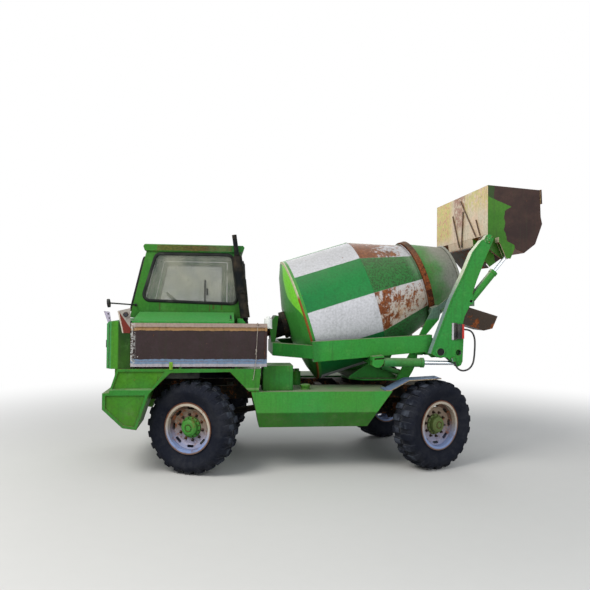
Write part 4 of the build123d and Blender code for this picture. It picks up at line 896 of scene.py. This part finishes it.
def makeWheelBolts(corner, matrix, material):
    bolts = Piece(f"wheel_bolts_{corner}")
    for count in range(wheels["nuts"]):
        place = around(*wheels["nutCircle"], math.tau * (count + 0.25) / wheels["nuts"])
        bolts.bolt(place, (0, 1, 0), 0.014)
        bolts.lathe(place, (0, 1, 0), [(0.012, 0.008), (0.030, 0.008), (0.033, 0.006)], 10)
    for count in range(wheels["hubBolts"]):
        turn = math.tau * (count + 0.5) / wheels["hubBolts"]
        bolts.bolt(around(*wheels["capCircle"], turn), (0, 1, 0), 0.005)
        bolts.bolt(around(*wheels["hubCircle"], turn), (0, 1, 0), 0.006)
    # valve stem through a hand hole
    bolts.tube([around(0.070, 0.236, 0.4), around(0.090, 0.232, 0.4), around(0.110, 0.222, 0.4)], 0.005)
    bolts.done(f"wheel_{corner}", material, bevel=0.0, slot="rim_paint", matrix=matrix)


def tyreRubber(end, steer):
    # in each tyre's own coordinates, from its centre
    shade = Shade(f"tyreRubber_{end}")
    across, ahead = math.cos(math.radians(steer)), math.sin(math.radians(steer))
    onward = shade.x * across + shade.y * ahead
    radius = (onward * onward + shade.z * shade.z) ** 0.5
    fine = shade.noise(90.0, 5.0, 0.6)
    wide = shade.noise(4.0, 6.0, 0.7)
    rounded, edges = shade.edges(0.006)
    dustAndSheen = (wide * 0.8 + shade.noise(18.0, 5.0, 0.7) * 0.4).ease(0.5, 0.75)
    groove = shade.hidden(0.05).ease(0.15, 0.7)
    tone = shade.blend(fine, paint(18, 20, 27), paint(31, 34, 44))
    tone = shade.blend(dustAndSheen * 0.22, tone, paint(72, 72, 74))
    tread = radius.ease(0.43, 0.47)
    tone = shade.blend(tread * groove * 0.55, tone, paint(84, 84, 84))
    # painted highlights: bluish sheen in patches on the tread's crown and along the lugs' edges
    tone = shade.blend(radius.ease(0.492, 0.500) * dustAndSheen * 0.5, tone, paint(88, 94, 106))
    tone = shade.blend(tread * edges * 0.30, tone, paint(104, 110, 122))
    lines = (radius * 420.0).wave() * (1.0 - tread)
    return shade.finish(tone, 0.78 + dustAndSheen * 0.2, 0.0, fine * 0.3 + lines * 0.08, 0.0015, rounded,
                        Specular_IOR_Level=0.05)


def rimFinish(corner, matrix):
    # beige disc, dark barrel in painted shade and rust, cream lip and rusty flange, all turned lilac low
    # down by painted sky light, and a green hub
    shade = Shade(f"rimPaint_{corner}")
    centre, axle = matrix.translation, matrix.col[1]
    dx, dy, dz = shade.x - centre.x, shade.y - centre.y, shade.z - centre.z
    out = dx * axle.x + dy * axle.y
    radius = (dx * dx + dy * dy + dz * dz - out * out).most(0.0) ** 0.5
    rounded, edges = shade.edges(0.005)
    fine = shade.noise(45.0, 6.0, 0.7)
    wide = shade.noise(7.0, 6.0, 0.7)
    skyLitLow = dz.ease(0.06, -0.20)
    rings = [
        # inner radius, colour above, colour below with painted sky light
        (0.0, paint(126, 110, 94), paint(142, 140, 160)),
        (0.203, paint(80, 58, 46), paint(128, 132, 158)),
        (0.240, paint(168, 158, 142), paint(122, 140, 180)),
        (0.268, paint(94, 58, 42), paint(112, 90, 80)),
    ]
    tone = paint(126, 110, 94)
    for inner, over, under in rings:
        step = (radius + (wide - 0.5) * 0.01).ease(inner - 0.003, inner + 0.003)
        tone = shade.blend(step, tone, shade.blend(skyLitLow, over, under))
    tone = shade.blend(wide.ease(0.5, 0.7) * 0.5, tone, paint(100, 84, 72))
    rusty = (wide * 0.7 + fine * 0.45 + edges * 0.08 - skyLitLow * 0.05).ease(0.61, 0.71)
    tone = shade.blend(rusty, tone, rustColour(shade, fine))
    hub = radius.ease(0.121, 0.117) * out.ease(0.018, 0.026)
    fresh = paint(58, 124, 46) if "front" in corner else paint(84, 100, 52)
    green = shade.blend(wide.ease(0.4, 0.7) * 0.5, fresh, paint(80, 88, 50))
    green = shade.blend(rusty * 0.4, green, rustColour(shade, fine))
    tone = shade.blend(hub, tone, green)
    # painted shade: darker in corners and round the hub
    tone = shade.blend(shade.hidden(0.08).ease(0.25, 0.9) * 0.8, tone, paint(34, 30, 28))
    return shade.finish(tone, 0.55 + rusty * 0.35, 0.0, fine * 0.3 + rusty * 0.4, 0.0015, rounded,
                        Specular_IOR_Level=0.2)


rubbers = {"front": tyreRubber("front", -24.5), "rear": tyreRubber("rear", 24.5)}
for corner, kingpinX, side, steer in wheels["corners"]:
    matrix = wheelMatrix(kingpinX, side, steer)
    rubber = rubbers[corner.split("_")[0]]
    makeTyre(corner, matrix, rubber)
    makeWheelBolts(corner, matrix, finishes["nutSteel"])
    assign(rubber, f"tyre_{corner}")
    assign(rimFinish(corner, matrix), f"wheel_{corner}")
print("stage 5: tyres and wheels")


# cab: rubber seals round the panes, window bar, gutter, handles, wiper
cab = {
    "nearY": -0.4,
    "farY": 0.7,
    "nearWindow": [(-2.018, 2.440), (-1.134, 2.440), (-1.063, 1.861), (-2.178, 1.896)],
    "doorWindow": [(-2.000, 2.380), (-1.250, 2.380), (-1.250, 1.800), (-2.095, 1.800), (-2.105, 1.900)],
    "screenCentre": (-2.223, 0.15, 2.083),
    "screenLean": 13.1,
    "screenSize": (0.940, 0.640),
    "rearCentre": (-1.007, 0.15, 2.130),
    "rearLean": -5.0,
    "rearSize": (0.860, 0.480),
    "seal": [(-0.016, 0.0), (-0.014, 0.010), (0.0, 0.013), (0.014, 0.010), (0.020, 0.0), (0.020, -0.012),
             (-0.016, -0.012)],
    "windowBarX": -1.452,
    "gutter": [(-2.125, 2.474), (-1.045, 2.474)],
    "gutterSection": [(0.004, 0.0), (0.004, 0.020), (0.010, 0.020), (0.014, 0.012), (-0.010, 0.012),
                      (-0.010, 0.0)],
    # height above its lower end and radius
    "hinge": [(0, 0.013), (0.048, 0.013), (0.049, 0.011), (0.051, 0.011), (0.052, 0.013), (0.10, 0.013)],
    "pull": [(-2.06, 0.696, 1.55), (-2.06, 0.742, 1.565), (-2.06, 0.748, 1.62), (-2.06, 0.742, 1.675),
             (-2.06, 0.696, 1.69)],
    "grabRail": [(-1.09, 0.698, 1.35), (-1.09, 0.745, 1.37), (-1.09, 0.752, 1.65), (-1.09, 0.745, 1.93),
                 (-1.09, 0.698, 1.95)],
}


def rubberTrim():
    shade = Shade("rubberTrim")
    fine = shade.noise(70.0, 5.0, 0.6)
    wide = shade.noise(5.0, 4.0, 0.6)
    tone = shade.blend(wide.ease(0.45, 0.7) * 0.45, paint(20, 22, 22), paint(66, 70, 60))
    return shade.finish(tone, 0.6 + fine * 0.25, 0.0, fine, 0.0006, Specular_IOR_Level=0.2)


def paneLoop(centre, lean, facing, size):
    # the pane's rounded outline, the way it faces, across and up
    up = Vector((math.sin(math.radians(lean)), 0, math.cos(math.radians(lean))))
    outward = Vector((facing * math.cos(math.radians(lean)), 0, -facing * math.sin(math.radians(lean))))
    across = up.cross(outward)
    wide, high = size[0] / 2, size[1] / 2
    flat = roundedLoop([(-wide, -high), (wide, -high), (wide, high), (-wide, high)], 0.06)
    return [Vector(centre) + across * a + up * b for a, b in flat], outward, across, up


trim = rubberTrim()
seals = Piece("cab_window_seals")
near = [Vector((x, cab["nearY"], z)) for x, z in roundedLoop(cab["nearWindow"], 0.07)]
seals.strip(near, (0, -1, 0), cab["seal"])
seals.box(cab["windowBarX"] - 0.006, cab["windowBarX"] + 0.006, -0.408, -0.380, 1.872, 2.14)
seals.box(cab["windowBarX"] + 0.02, cab["windowBarX"] + 0.032, -0.410, -0.384, 1.96, 2.04)
seals.done("chassis", trim, bevel=0.002, angle=50, slot="black_plastic")

ends = Piece("cab_end_seals")
for centre, lean, facing, size in ((cab["screenCentre"], cab["screenLean"], -1, cab["screenSize"]),
                                   (cab["rearCentre"], cab["rearLean"], 1, cab["rearSize"])):
    loop, outward, across, up = paneLoop(centre, lean, facing, size)
    ends.strip([spot + outward * 0.022 for spot in loop], outward, cab["seal"])
    # wiper: motor boss, arm and blade
    foot = Vector(centre) - up * (size[1] / 2 + 0.05) + across * 0.12 + outward * 0.022
    tip = Vector(centre) + up * 0.04 - across * 0.06 + outward * 0.052
    boss = [(0, 0.022), (0.02, 0.020), (0.03, 0.012), (0.042, 0.010)]
    ends.lathe(foot - outward * 0.006, outward, boss, 20)
    ends.tube([foot + outward * 0.034, foot + outward * 0.042 + up * 0.05, tip], 0.005)
    blade = (up * 0.92 + across * 0.1).normalized()
    ends.tube([tip - blade * 0.2, tip - outward * 0.006, tip + blade * 0.2], 0.006, 6)
ends.done("chassis", trim, bevel=0, angle=50, slot="black_plastic")

doorSeal = Piece("door_window_seal")
doorLoop = [Vector((x, cab["farY"], z)) for x, z in roundedLoop(cab["doorWindow"], 0.045)]
doorSeal.strip(doorLoop, (0, 1, 0), cab["seal"])
# pull handle on the door
doorSeal.tube(curvePath(cab["pull"], 5), 0.010, 12)
doorSeal.done("cab_door", trim, bevel=0, angle=50, slot="black_plastic")

gutter = Piece("cab_rain_gutter")
for y, out in ((cab["nearY"], -1), (cab["farY"], 1)):
    rail = [Vector((x, y, z)) for x, z in cab["gutter"]]
    gutter.strip(rail, (0, out, 0), cab["gutterSection"], closed=False)
# door hinges on the rear post and a grab rail beside the door
for z in (1.42, 2.28):
    gutter.lathe((-1.172, 0.712, z - 0.05), (0, 0, 1), cab["hinge"], 18)
gutter.tube(curvePath(cab["grabRail"], 6), 0.012, 12)
gutter.done("chassis", finishes["cabPaint"], bevel=0.001, slot="green_paint")
print("stage 6: cab trim")


# rubber flaps that hang inside the front arches
flapOutline = [(-1.900, 1.048), (-1.500, 1.048), (-1.480, 1.060), (-1.480, 1.150), (-1.900, 1.150)]
flaps = Piece("arch_splash_flaps")
for side in (-1, 1):
    near, far = sorted((side * 0.946, side * 0.941))
    flaps.prism(flapOutline, near, far)
    for x in (-1.86, -1.69, -1.52):
        flaps.bolt((x, side * 0.946, 1.130), (0, side, 0), 0.008)
flaps.done("chassis", trim, bevel=0.001, slot="black_plastic")


# nose: grille bars, headlamps with their rims, and turn lamps
nose = {
    "frontX": -2.471,
    # how deep the trim is let into the front
    "letIn": 0.001,
    "grille": {"z": (1.23, 1.53), "halfWidth": 0.36, "bars": 9},
    "lampY": 0.66,
    "lampZ": 1.42,
    "lampRadius": 0.085,
    # the small turn lamps: middle, half width and heights
    "turnLampY": (0.84, 0.04),
    "turnLampZ": (1.38, 1.46),
}
frontX, rootX = nose["frontX"], nose["frontX"] + nose["letIn"]
grille = Piece("nose_grille")
low, high = nose["grille"]["z"]
wide = nose["grille"]["halfWidth"]
for count in range(nose["grille"]["bars"]):
    z = low + (high - low) * (count + 0.5) / nose["grille"]["bars"]
    grille.prism([(frontX - 0.016, z - 0.008), (rootX, z - 0.002), (rootX, z + 0.006),
                  (frontX - 0.014, z - 0.002)], -wide, wide)
for y in (-wide, 0.0, wide):
    grille.box(frontX - 0.018, rootX, y - 0.012, y + 0.012, low - 0.012, high + 0.012)
for z in (low - 0.012, high + 0.002):
    grille.box(frontX - 0.018, rootX, -wide, wide, z, z + 0.01)
grille.done("chassis", trim, bevel=0.0015, slot="black_plastic")

lampRims = Piece("headlamp_rims")
lenses = Piece("headlamp_lenses")
radius = nose["lampRadius"]
rimSection = [(0.0, radius + 0.016), (0.022, radius + 0.015), (0.030, radius + 0.008), (0.030, radius),
              (0.020, radius - 0.003), (0.0, radius - 0.003)]
lensSection = [(0.0, radius - 0.004), (0.022, radius - 0.004), (0.030, radius * 0.8), (0.035, radius * 0.5),
               (0.037, radius * 0.2), (0.037, 0.002)]
for side in (-1, 1):
    spot = (rootX, side * nose["lampY"], nose["lampZ"])
    lampRims.lathe(spot, (-1, 0, 0), rimSection, 48, looped=True)
    lenses.lathe(spot, (-1, 0, 0), lensSection, 48)
    # small turn lamp outboard of each
    middle, half = nose["turnLampY"]
    lampRims.box(frontX - 0.014, rootX, side * middle - half, side * middle + half, *nose["turnLampZ"])
lampRims.done("chassis", trim, bevel=0.0015, slot="black_plastic")


def clearLens():
    shade = Shade("clearLens")
    film = shade.noise(9.0, 5.0, 0.6)
    ribs = (shade.y * 400.0).wave()
    tone = shade.blend(film.ease(0.4, 0.7) * 0.5, paint(206, 210, 208), paint(150, 146, 130))
    return shade.finish(tone, 0.12 + film * 0.25, 0.35, ribs * 0.5 + 0.5, 0.0008)


lenses.done("chassis", clearLens(), bevel=0, slot="lamp")
print("stage 7: nose")


# side panel, lid and stack: clip, slot and clamps
panelFittings = Piece("panel_clip")
panelFittings.box(-1.800, -1.762, -1.006, -0.999, 1.150, 1.232)
clipWire = [(-1.792, -1.008, 1.215), (-1.781, -1.020, 1.190), (-1.770, -1.008, 1.160)]
panelFittings.tube(curvePath(clipWire, 5), 0.004, 8)
panelFittings.done("chassis", finishes["clipPaint"], bevel=0.0008, slot="green_paint")

lidSlot = Piece("lid_slot")
slotOutline = [(-0.930, 1.6745), (-0.600, 1.7283), (-0.600, 1.7318), (-0.930, 1.6780)]
lidSlot.prism(slotOutline, -1.157, -1.139, "yz")
lidSlot.done("engine_lid", trim, bevel=0.0006, slot="green_paint")

stack = {
    "foot": Vector((-0.962, -0.478, 1.600)),
    "tip": Vector((-1.117, -0.478, 2.672)),
    # distance from the foot, and the radius of the pipe there
    "clamps": [(0.085, 0.029), (0.845, 0.029), (0.40, 0.058)],
}
stackRun = (stack["tip"] - stack["foot"]).normalized()
clamps = Piece("exhaust_clamps")
for distance, wide in stack["clamps"]:
    clamps.lathe(stack["foot"] + stackRun * (distance - 0.012), stackRun, [
        (0.0, wide - 0.004), (0.0, wide + 0.003), (0.004, wide + 0.004), (0.020, wide + 0.004),
        (0.024, wide + 0.003), (0.024, wide - 0.004)], 40, looped=True)
    clamps.bolt(stack["foot"] + stackRun * distance + Vector((0, -wide - 0.006, 0)), (0, -1, 0), 0.007)
clamps.done("chassis", finishes["stackSteel"], bevel=0.0008, slot="dark_steel")
print("stage 8: engine bay")


# tanks: filler cap with its grip, and drain plug
tank = {
    "top": 0.905,
    "capX": -0.30,
    "capY": 0.80,
    "cap": [(0, 0.062), (0.006, 0.062), (0.008, 0.050), (0.030, 0.050), (0.032, 0.056), (0.052, 0.056),
            (0.058, 0.050), (0.059, 0.012), (0.066, 0.010)],
    "grips": 10,
    "gripCircle": 0.055,
    "plug": [(-0.001, 0.030), (0.006, 0.030), (0.008, 0.018), (0.016, 0.017)],
}
for side in (-1, 1):
    fittings = Piece(f"tank_fittings_{'left' if side < 0 else 'right'}")
    cap = Vector((tank["capX"], side * tank["capY"], tank["top"] - 0.001))
    radius = tank["gripCircle"]
    fittings.lathe(cap, (0, 0, 1), tank["cap"], 40)
    for turn in allRound(tank["grips"]):
        spot = cap + Vector((radius * math.cos(turn), radius * math.sin(turn), 0.034))
        fittings.rod(spot, spot + Vector((0, 0, 0.016)), 0.004, 6)
    fittings.lathe((-0.10, side * 0.72, 0.5005), (0, 0, -1), tank["plug"], 24)
    fittings.done("chassis", finishes["bodyPaint"], bevel=0.001, slot="green_paint")
print("stage 9: tanks")


# drum: weld seams, and two mixing blades inside its mouth
def onDrum(station, radius, turn):
    across, up = radius * math.cos(turn), radius * math.sin(turn)
    return Vector((drum["origin"][0] + drumCos * station - drumSin * up, -across,
                   drum["origin"][2] + drumSin * station + drumCos * up))


def drumRadius(station):
    # the shell's outer radius at a distance along its axis
    if station <= drum["barrelEnd"]:
        return drum["radius"]
    if station <= drum["ringStation"]:
        share = (station - drum["barrelEnd"]) / (drum["ringStation"] - drum["barrelEnd"])
        return drum["radius"] + (drum["ringSeat"] - drum["radius"]) * share
    share = (station - drum["ringStation"]) / (drum["mouthStation"] - drum["ringStation"])
    return drum["ringSeat"] + (drum["mouthRadius"] - drum["ringSeat"]) * share


seams = Piece("drum_weld_seams")
for station, wire in ((0.004, 0.006), (0.858, 0.004), (1.515, 0.004), (1.612, 0.004)):
    middle = (drum["origin"][0] + drumCos * station, 0, drum["origin"][2] + drumSin * station)
    seams.hoop(middle, (drumCos, 0, drumSin), drumRadius(station) - 0.001, wire, 120, 6)
# long seams, one plate of the barrel and one of the cone
for turn, low, high in ((2.6, 0.0, 0.858), (4.4, 0.858, 1.51)):
    stations = [low + (high - low) * step / 6 for step in range(7)]
    seams.tube([onDrum(station, drumRadius(station) - 0.0015, turn) for station in stations], 0.004, 6)
seams.done("drum", finishes["drumPaint"], bevel=0, slot="drum_paint")

spiral = {
    "steps": 60,
    "pitch": math.radians(5.0),
    "mouth": 2.035,
    "run": 0.60,
    "wallGap": 0.012,
    "depth": 0.11,
    "deeper": 0.05,
    # distance along the axis, and the share of the depth, round the blade's section
    "section": [(-0.004, 0), (0.004, 0), (0.018, 0.55), (0.010, 1), (0.002, 1), (0.009, 0.55)],
}
blades = Piece("mixing_blades")
for start in (0.0, math.pi):
    rings = []
    for step in range(spiral["steps"] + 1):
        turn = start + spiral["pitch"] * step
        station = spiral["mouth"] - spiral["run"] * step / spiral["steps"]
        wall = drumRadius(station) - spiral["wallGap"]
        depth = spiral["depth"] + spiral["deeper"] * min(2 * step / spiral["steps"], 1.0)
        rings.append([onDrum(station + along, wall - depth * share, turn)
                      for along, share in spiral["section"]])
    blades.skin(rings)
blades.done("drum", finishes["bladeSteel"], bevel=0, slot="drum_paint")
print("stage 10: drum")


# arms: collars and caps over the pivot and bucket pins, and the lamps' ribs
armCaps = {
    # X, Z, radius of the cap, radius of its pin, hollow or closed
    "pins": [(1.214, 1.343, 0.056, 0.032, True), (1.774, 2.634, 0.052, 0.024, False)],
    "faceY": 0.995,
}
caps = Piece("arm_pin_caps")
hollows = Piece("arm_pivot_hollows")
for side in (-1, 1):
    for x, z, wide, pin, hollow in armCaps["pins"]:
        face = (x, side * (armCaps["faceY"] + 0.0005), z)
        out = (0, side, 0)
        if hollow:
            # a raised collar, dark inside
            caps.lathe(face, out, [(-0.002, wide), (0.006, wide), (0.008, wide - 0.003),
                                   (0.008, pin + 0.010), (-0.002, pin + 0.010)], 40, looped=True)
            hollows.lathe(face, out, [(-0.002, pin + 0.011), (0.002, pin + 0.010), (0.001, 0.018),
                                      (0.004, 0.016), (0.004, 0.004)], 40)
            continue
        caps.lathe(face, out, [(-0.002, wide), (0.008, wide), (0.010, wide - 0.003), (0.010, pin + 0.004),
                               (0.016, pin + 0.002), (0.016, 0.006), (0.020, 0.006), (0.026, 0.003)], 40)
        for turn in (0.6, 2.7, 4.8):
            caps.bolt((x + wide * 0.76 * math.cos(turn), side * (armCaps["faceY"] + 0.010),
                       z + wide * 0.76 * math.sin(turn)), out, 0.008)
caps.done("loading_arms", finishes["armPaint"], bevel=0.001, slot="green_paint")
hollows.done("loading_arms", trim, bevel=0.0, slot="green_paint")

ribs = {
    "count": 9,
    "pitch": 0.017,
    "height": 0.010,
    "faceY": 1.029,
    "out": 0.003,
    "x": (1.404, 1.450),
    "low": 1.508,
}
lampRibs = Piece("tail_lamp_ribs")
for side in (-1, 1):
    near, far = sorted((side * ribs["faceY"], side * ribs["faceY"] + side * ribs["out"]))
    for count in range(ribs["count"]):
        z = ribs["low"] + count * ribs["pitch"]
        lampRibs.box(*ribs["x"], near, far, z, z + ribs["height"])
    for z in (1.500, 1.652):
        lampRibs.bolt((1.372, side * 1.003, z), (0, side, 0), 0.006)
lampRibs.done("loading_arms", finishes["lampFaces"], bevel=0.0006, slot="lamp")
print("stage 11: arms")


# seat: a puffed cushion and back on a plain pedestal, piped along their edges
seat = {
    # centre, half sizes, lean in degrees
    "cushion": ((-1.360, 0.120, 1.535), (0.225, 0.225, 0.062), 0.0),
    "back": ((-1.090, 0.120, 1.850), (0.052, 0.205, 0.235), -4.0),
    "pedestal": ((-1.540, -1.200), (-0.08, 0.30), (1.191, 1.476)),
    "squareness": 0.28,
    "crown": 0.022,
    "columns": 56,
    "rows": 28,
    # the piping: how far out of the middle, how far in from the edge, radius and sides
    "pipingAt": 0.72,
    "pipingIn": 0.985,
    "piping": 0.004,
    "pipingSides": 6,
}


def swell(angle, power):
    return (math.copysign(abs(math.cos(angle)) ** power, math.cos(angle)),
            math.copysign(abs(math.sin(angle)) ** power, math.sin(angle)))


def makePad(name, centre, half, lean, crownAxis, material):
    # a soft box, with rounded corners and a crown in the middle of its faces
    pad = Piece(name)
    centre, power, wire = Vector(centre), seat["squareness"], seat["piping"]
    turn = Matrix.Rotation(math.radians(lean), 3, "Y")
    rings = []
    for row in range(1, seat["rows"]):
        across, height = swell(math.pi * row / seat["rows"] - math.pi / 2, power)
        ring = []
        for angle in allRound(seat["columns"]):
            x, y = swell(angle, power)
            spot = [x * across, y * across, height]
            others = [value for axis, value in enumerate(spot) if axis != crownAxis]
            lift = (1 - others[0] ** 2) * (1 - others[1] ** 2) * seat["crown"]
            spot = [value * size for value, size in zip(spot, half)]
            spot[crownAxis] += math.copysign(lift, spot[crownAxis]) * (0.6 if crownAxis == 0 else 1.0)
            ring.append(centre + turn @ Vector(spot))
        rings.append(ring)
    pad.skin(rings)
    # piping round the two long edges
    for end in (-seat["pipingAt"], seat["pipingAt"]):
        rings = []
        for angle in allRound(seat["columns"]):
            spot = list(swell(angle, power))
            spot.insert(crownAxis, end)
            spot = [value * size * seat["pipingIn"] for value, size in zip(spot, half)]
            middle = centre + turn @ Vector(spot)
            outward = (middle - centre).normalized()
            ring = []
            for step in allRound(seat["pipingSides"]):
                rise = [0, 0, 0]
                rise[crownAxis] = wire * math.sin(step)
                ring.append(middle + outward * wire * math.cos(step) + turn @ Vector(rise))
            rings.append(ring)
        pad.skin(rings, looped=True)
    return pad.done("chassis", material, bevel=0, angle=60, slot="seat_cover")


def seatCloth():
    shade = Shade("seatCloth")
    weave = shade.noise(220.0, 4.0, 0.6)
    wide = shade.noise(6.0, 5.0, 0.65)
    stitches = (shade.y * 110.0).wave().ease(-1.0, -0.8)
    tone = shade.blend(wide.ease(0.4, 0.7) * 0.5, paint(36, 36, 38), paint(96, 90, 78))
    tone = shade.blend((1.0 - stitches) * 0.4, tone, paint(18, 18, 19))
    return shade.finish(tone, 0.55 + weave * 0.3, 0.0, stitches + weave * 0.12, 0.003)


cloth = seatCloth()
cushionPiece = makePad("seat_cushion", *seat["cushion"], 2, cloth)
backPiece = makePad("seat_back", *seat["back"], 0, cloth)
pedestal = Piece("seat_pedestal")
(xLow, xHigh), (yLow, yHigh), (zLow, zHigh) = seat["pedestal"]
pedestal.box(xLow, xHigh, yLow, yHigh, zLow, zLow + 0.02)
pedestal.box(xLow + 0.01, xHigh - 0.01, yLow + 0.01, yHigh - 0.01, zHigh - 0.03, zHigh)
fold = (zHigh - zLow - 0.05) / 6
for count in range(6):
    z = zLow + 0.02 + (zHigh - zLow - 0.05) * count / 6
    inset = 0.03 if count % 2 else 0.045
    pedestal.box(xLow + inset, xHigh - inset, yLow + inset, yHigh - inset, z, z + fold)
# belts' buckle and the bracket that carries the back
pedestal.box(-1.15, -1.13, 0.0, 0.24, 1.50, 1.68)
pedestal.box(-1.40, -1.35, -0.125, -0.105, 1.56, 1.64)
pedestal = pedestal.done("chassis", trim, bevel=0.003, slot="black_plastic")
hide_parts("seat")
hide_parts("seat")
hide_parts("seat")
print("stage 12: seat")


# cords: the string on the side panel and the lamp's hose, on the routes that the part gives them
cords = {
    "string": {
        "route": [(-0.857, -1.006, 1.638), (-0.858, -1.006, 1.572), (-0.862, -1.006, 1.500),
                  (-0.863, -1.006, 1.430), (-0.868, -1.006, 1.362), (-0.867, -1.006, 1.295),
                  (-0.873, -1.006, 1.226), (-0.882, -1.006, 1.160), (-0.890, -1.006, 1.096),
                  (-0.901, -1.006, 1.036)],
        "diameter": 0.005,
        "length": 0.605,
    },
    "hose": {
        "route": [(1.474, -1.016, 1.600), (1.528, -1.016, 1.600), (1.580, -1.016, 1.566),
                  (1.605, -1.016, 1.500), (1.608, -1.016, 1.420), (1.604, -1.016, 1.350),
                  (1.600, -1.016, 1.288), (1.586, -1.016, 1.208), (1.536, -1.016, 1.146),
                  (1.458, -1.016, 1.128), (1.390, -1.016, 1.166), (1.366, -1.016, 1.238)],
        "diameter": 0.020,
        "length": 0.779,
    },
}


def cordCurve(name, cord, material, body):
    data = bpy.data.curves.new(name, "CURVE")
    data.dimensions = "3D"
    data.bevel_depth = cord["diameter"] / 2
    data.bevel_resolution = 4
    data.use_fill_caps = True
    spline = data.splines.new("NURBS")
    spline.points.add(len(cord["route"]) - 1)
    for point, spot in zip(spline.points, cord["route"]):
        point.co = (*spot, 1.0)
    spline.order_u = 3
    spline.use_endpoint_u = True
    spline.resolution_u = 12
    made = addObject(name, data)
    data.materials.append(material)
    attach(made, body)
    return made


def twistedCord():
    shade = Shade("twistedCord")
    lay = ((shade.z + shade.x * 0.5) * 900.0).wave() * 0.5 + 0.5
    dirt = shade.noise(30.0, 5.0, 0.6)
    tone = shade.blend(lay, paint(120, 112, 102), paint(184, 176, 164))
    tone = shade.blend(dirt.ease(0.5, 0.7) * 0.5, tone, paint(96, 88, 74))
    return shade.finish(tone, 0.85 + dirt * 0.1, 0.0, lay, 0.0008)


def hoseRubber():
    shade = Shade("hoseRubber")
    fine = shade.noise(80.0, 5.0, 0.6)
    wide = shade.noise(7.0, 5.0, 0.6)
    tone = shade.blend(wide.ease(0.45, 0.7) * 0.5, paint(20, 20, 22), paint(70, 68, 62))
    return shade.finish(tone, 0.5 + fine * 0.3, 0.0, fine, 0.0006)


string, hose = cords["string"], cords["hose"]
stringPiece = cordCurve("side_panel_string", string, twistedCord(), "chassis")
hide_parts("tie_string")
# turns of a small knot part of the way down, and its tail
turns = []
for step in range(28):
    turns.append((-0.868 + 0.006 * math.cos(step * 0.7), -1.008 + 0.004 * math.sin(step * 0.7),
                  1.372 - step * 0.0009))
tail = [(-0.868, -1.010, 1.352), (-0.874, -1.014, 1.334), (-0.876, -1.012, 1.312)]
knot = Piece("string_knot")
knot.tube(turns, 0.0028, 8)
knot.tube(curvePath(tail, 5), 0.0022, 8)
knot.done("chassis", stringPiece.data.materials[0], bevel=0, slot="black_plastic")
hosePiece = cordCurve("lamp_hose_curve", hose, hoseRubber(), "loading_arms")
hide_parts("lamp_hose")
print("stage 13: cords")
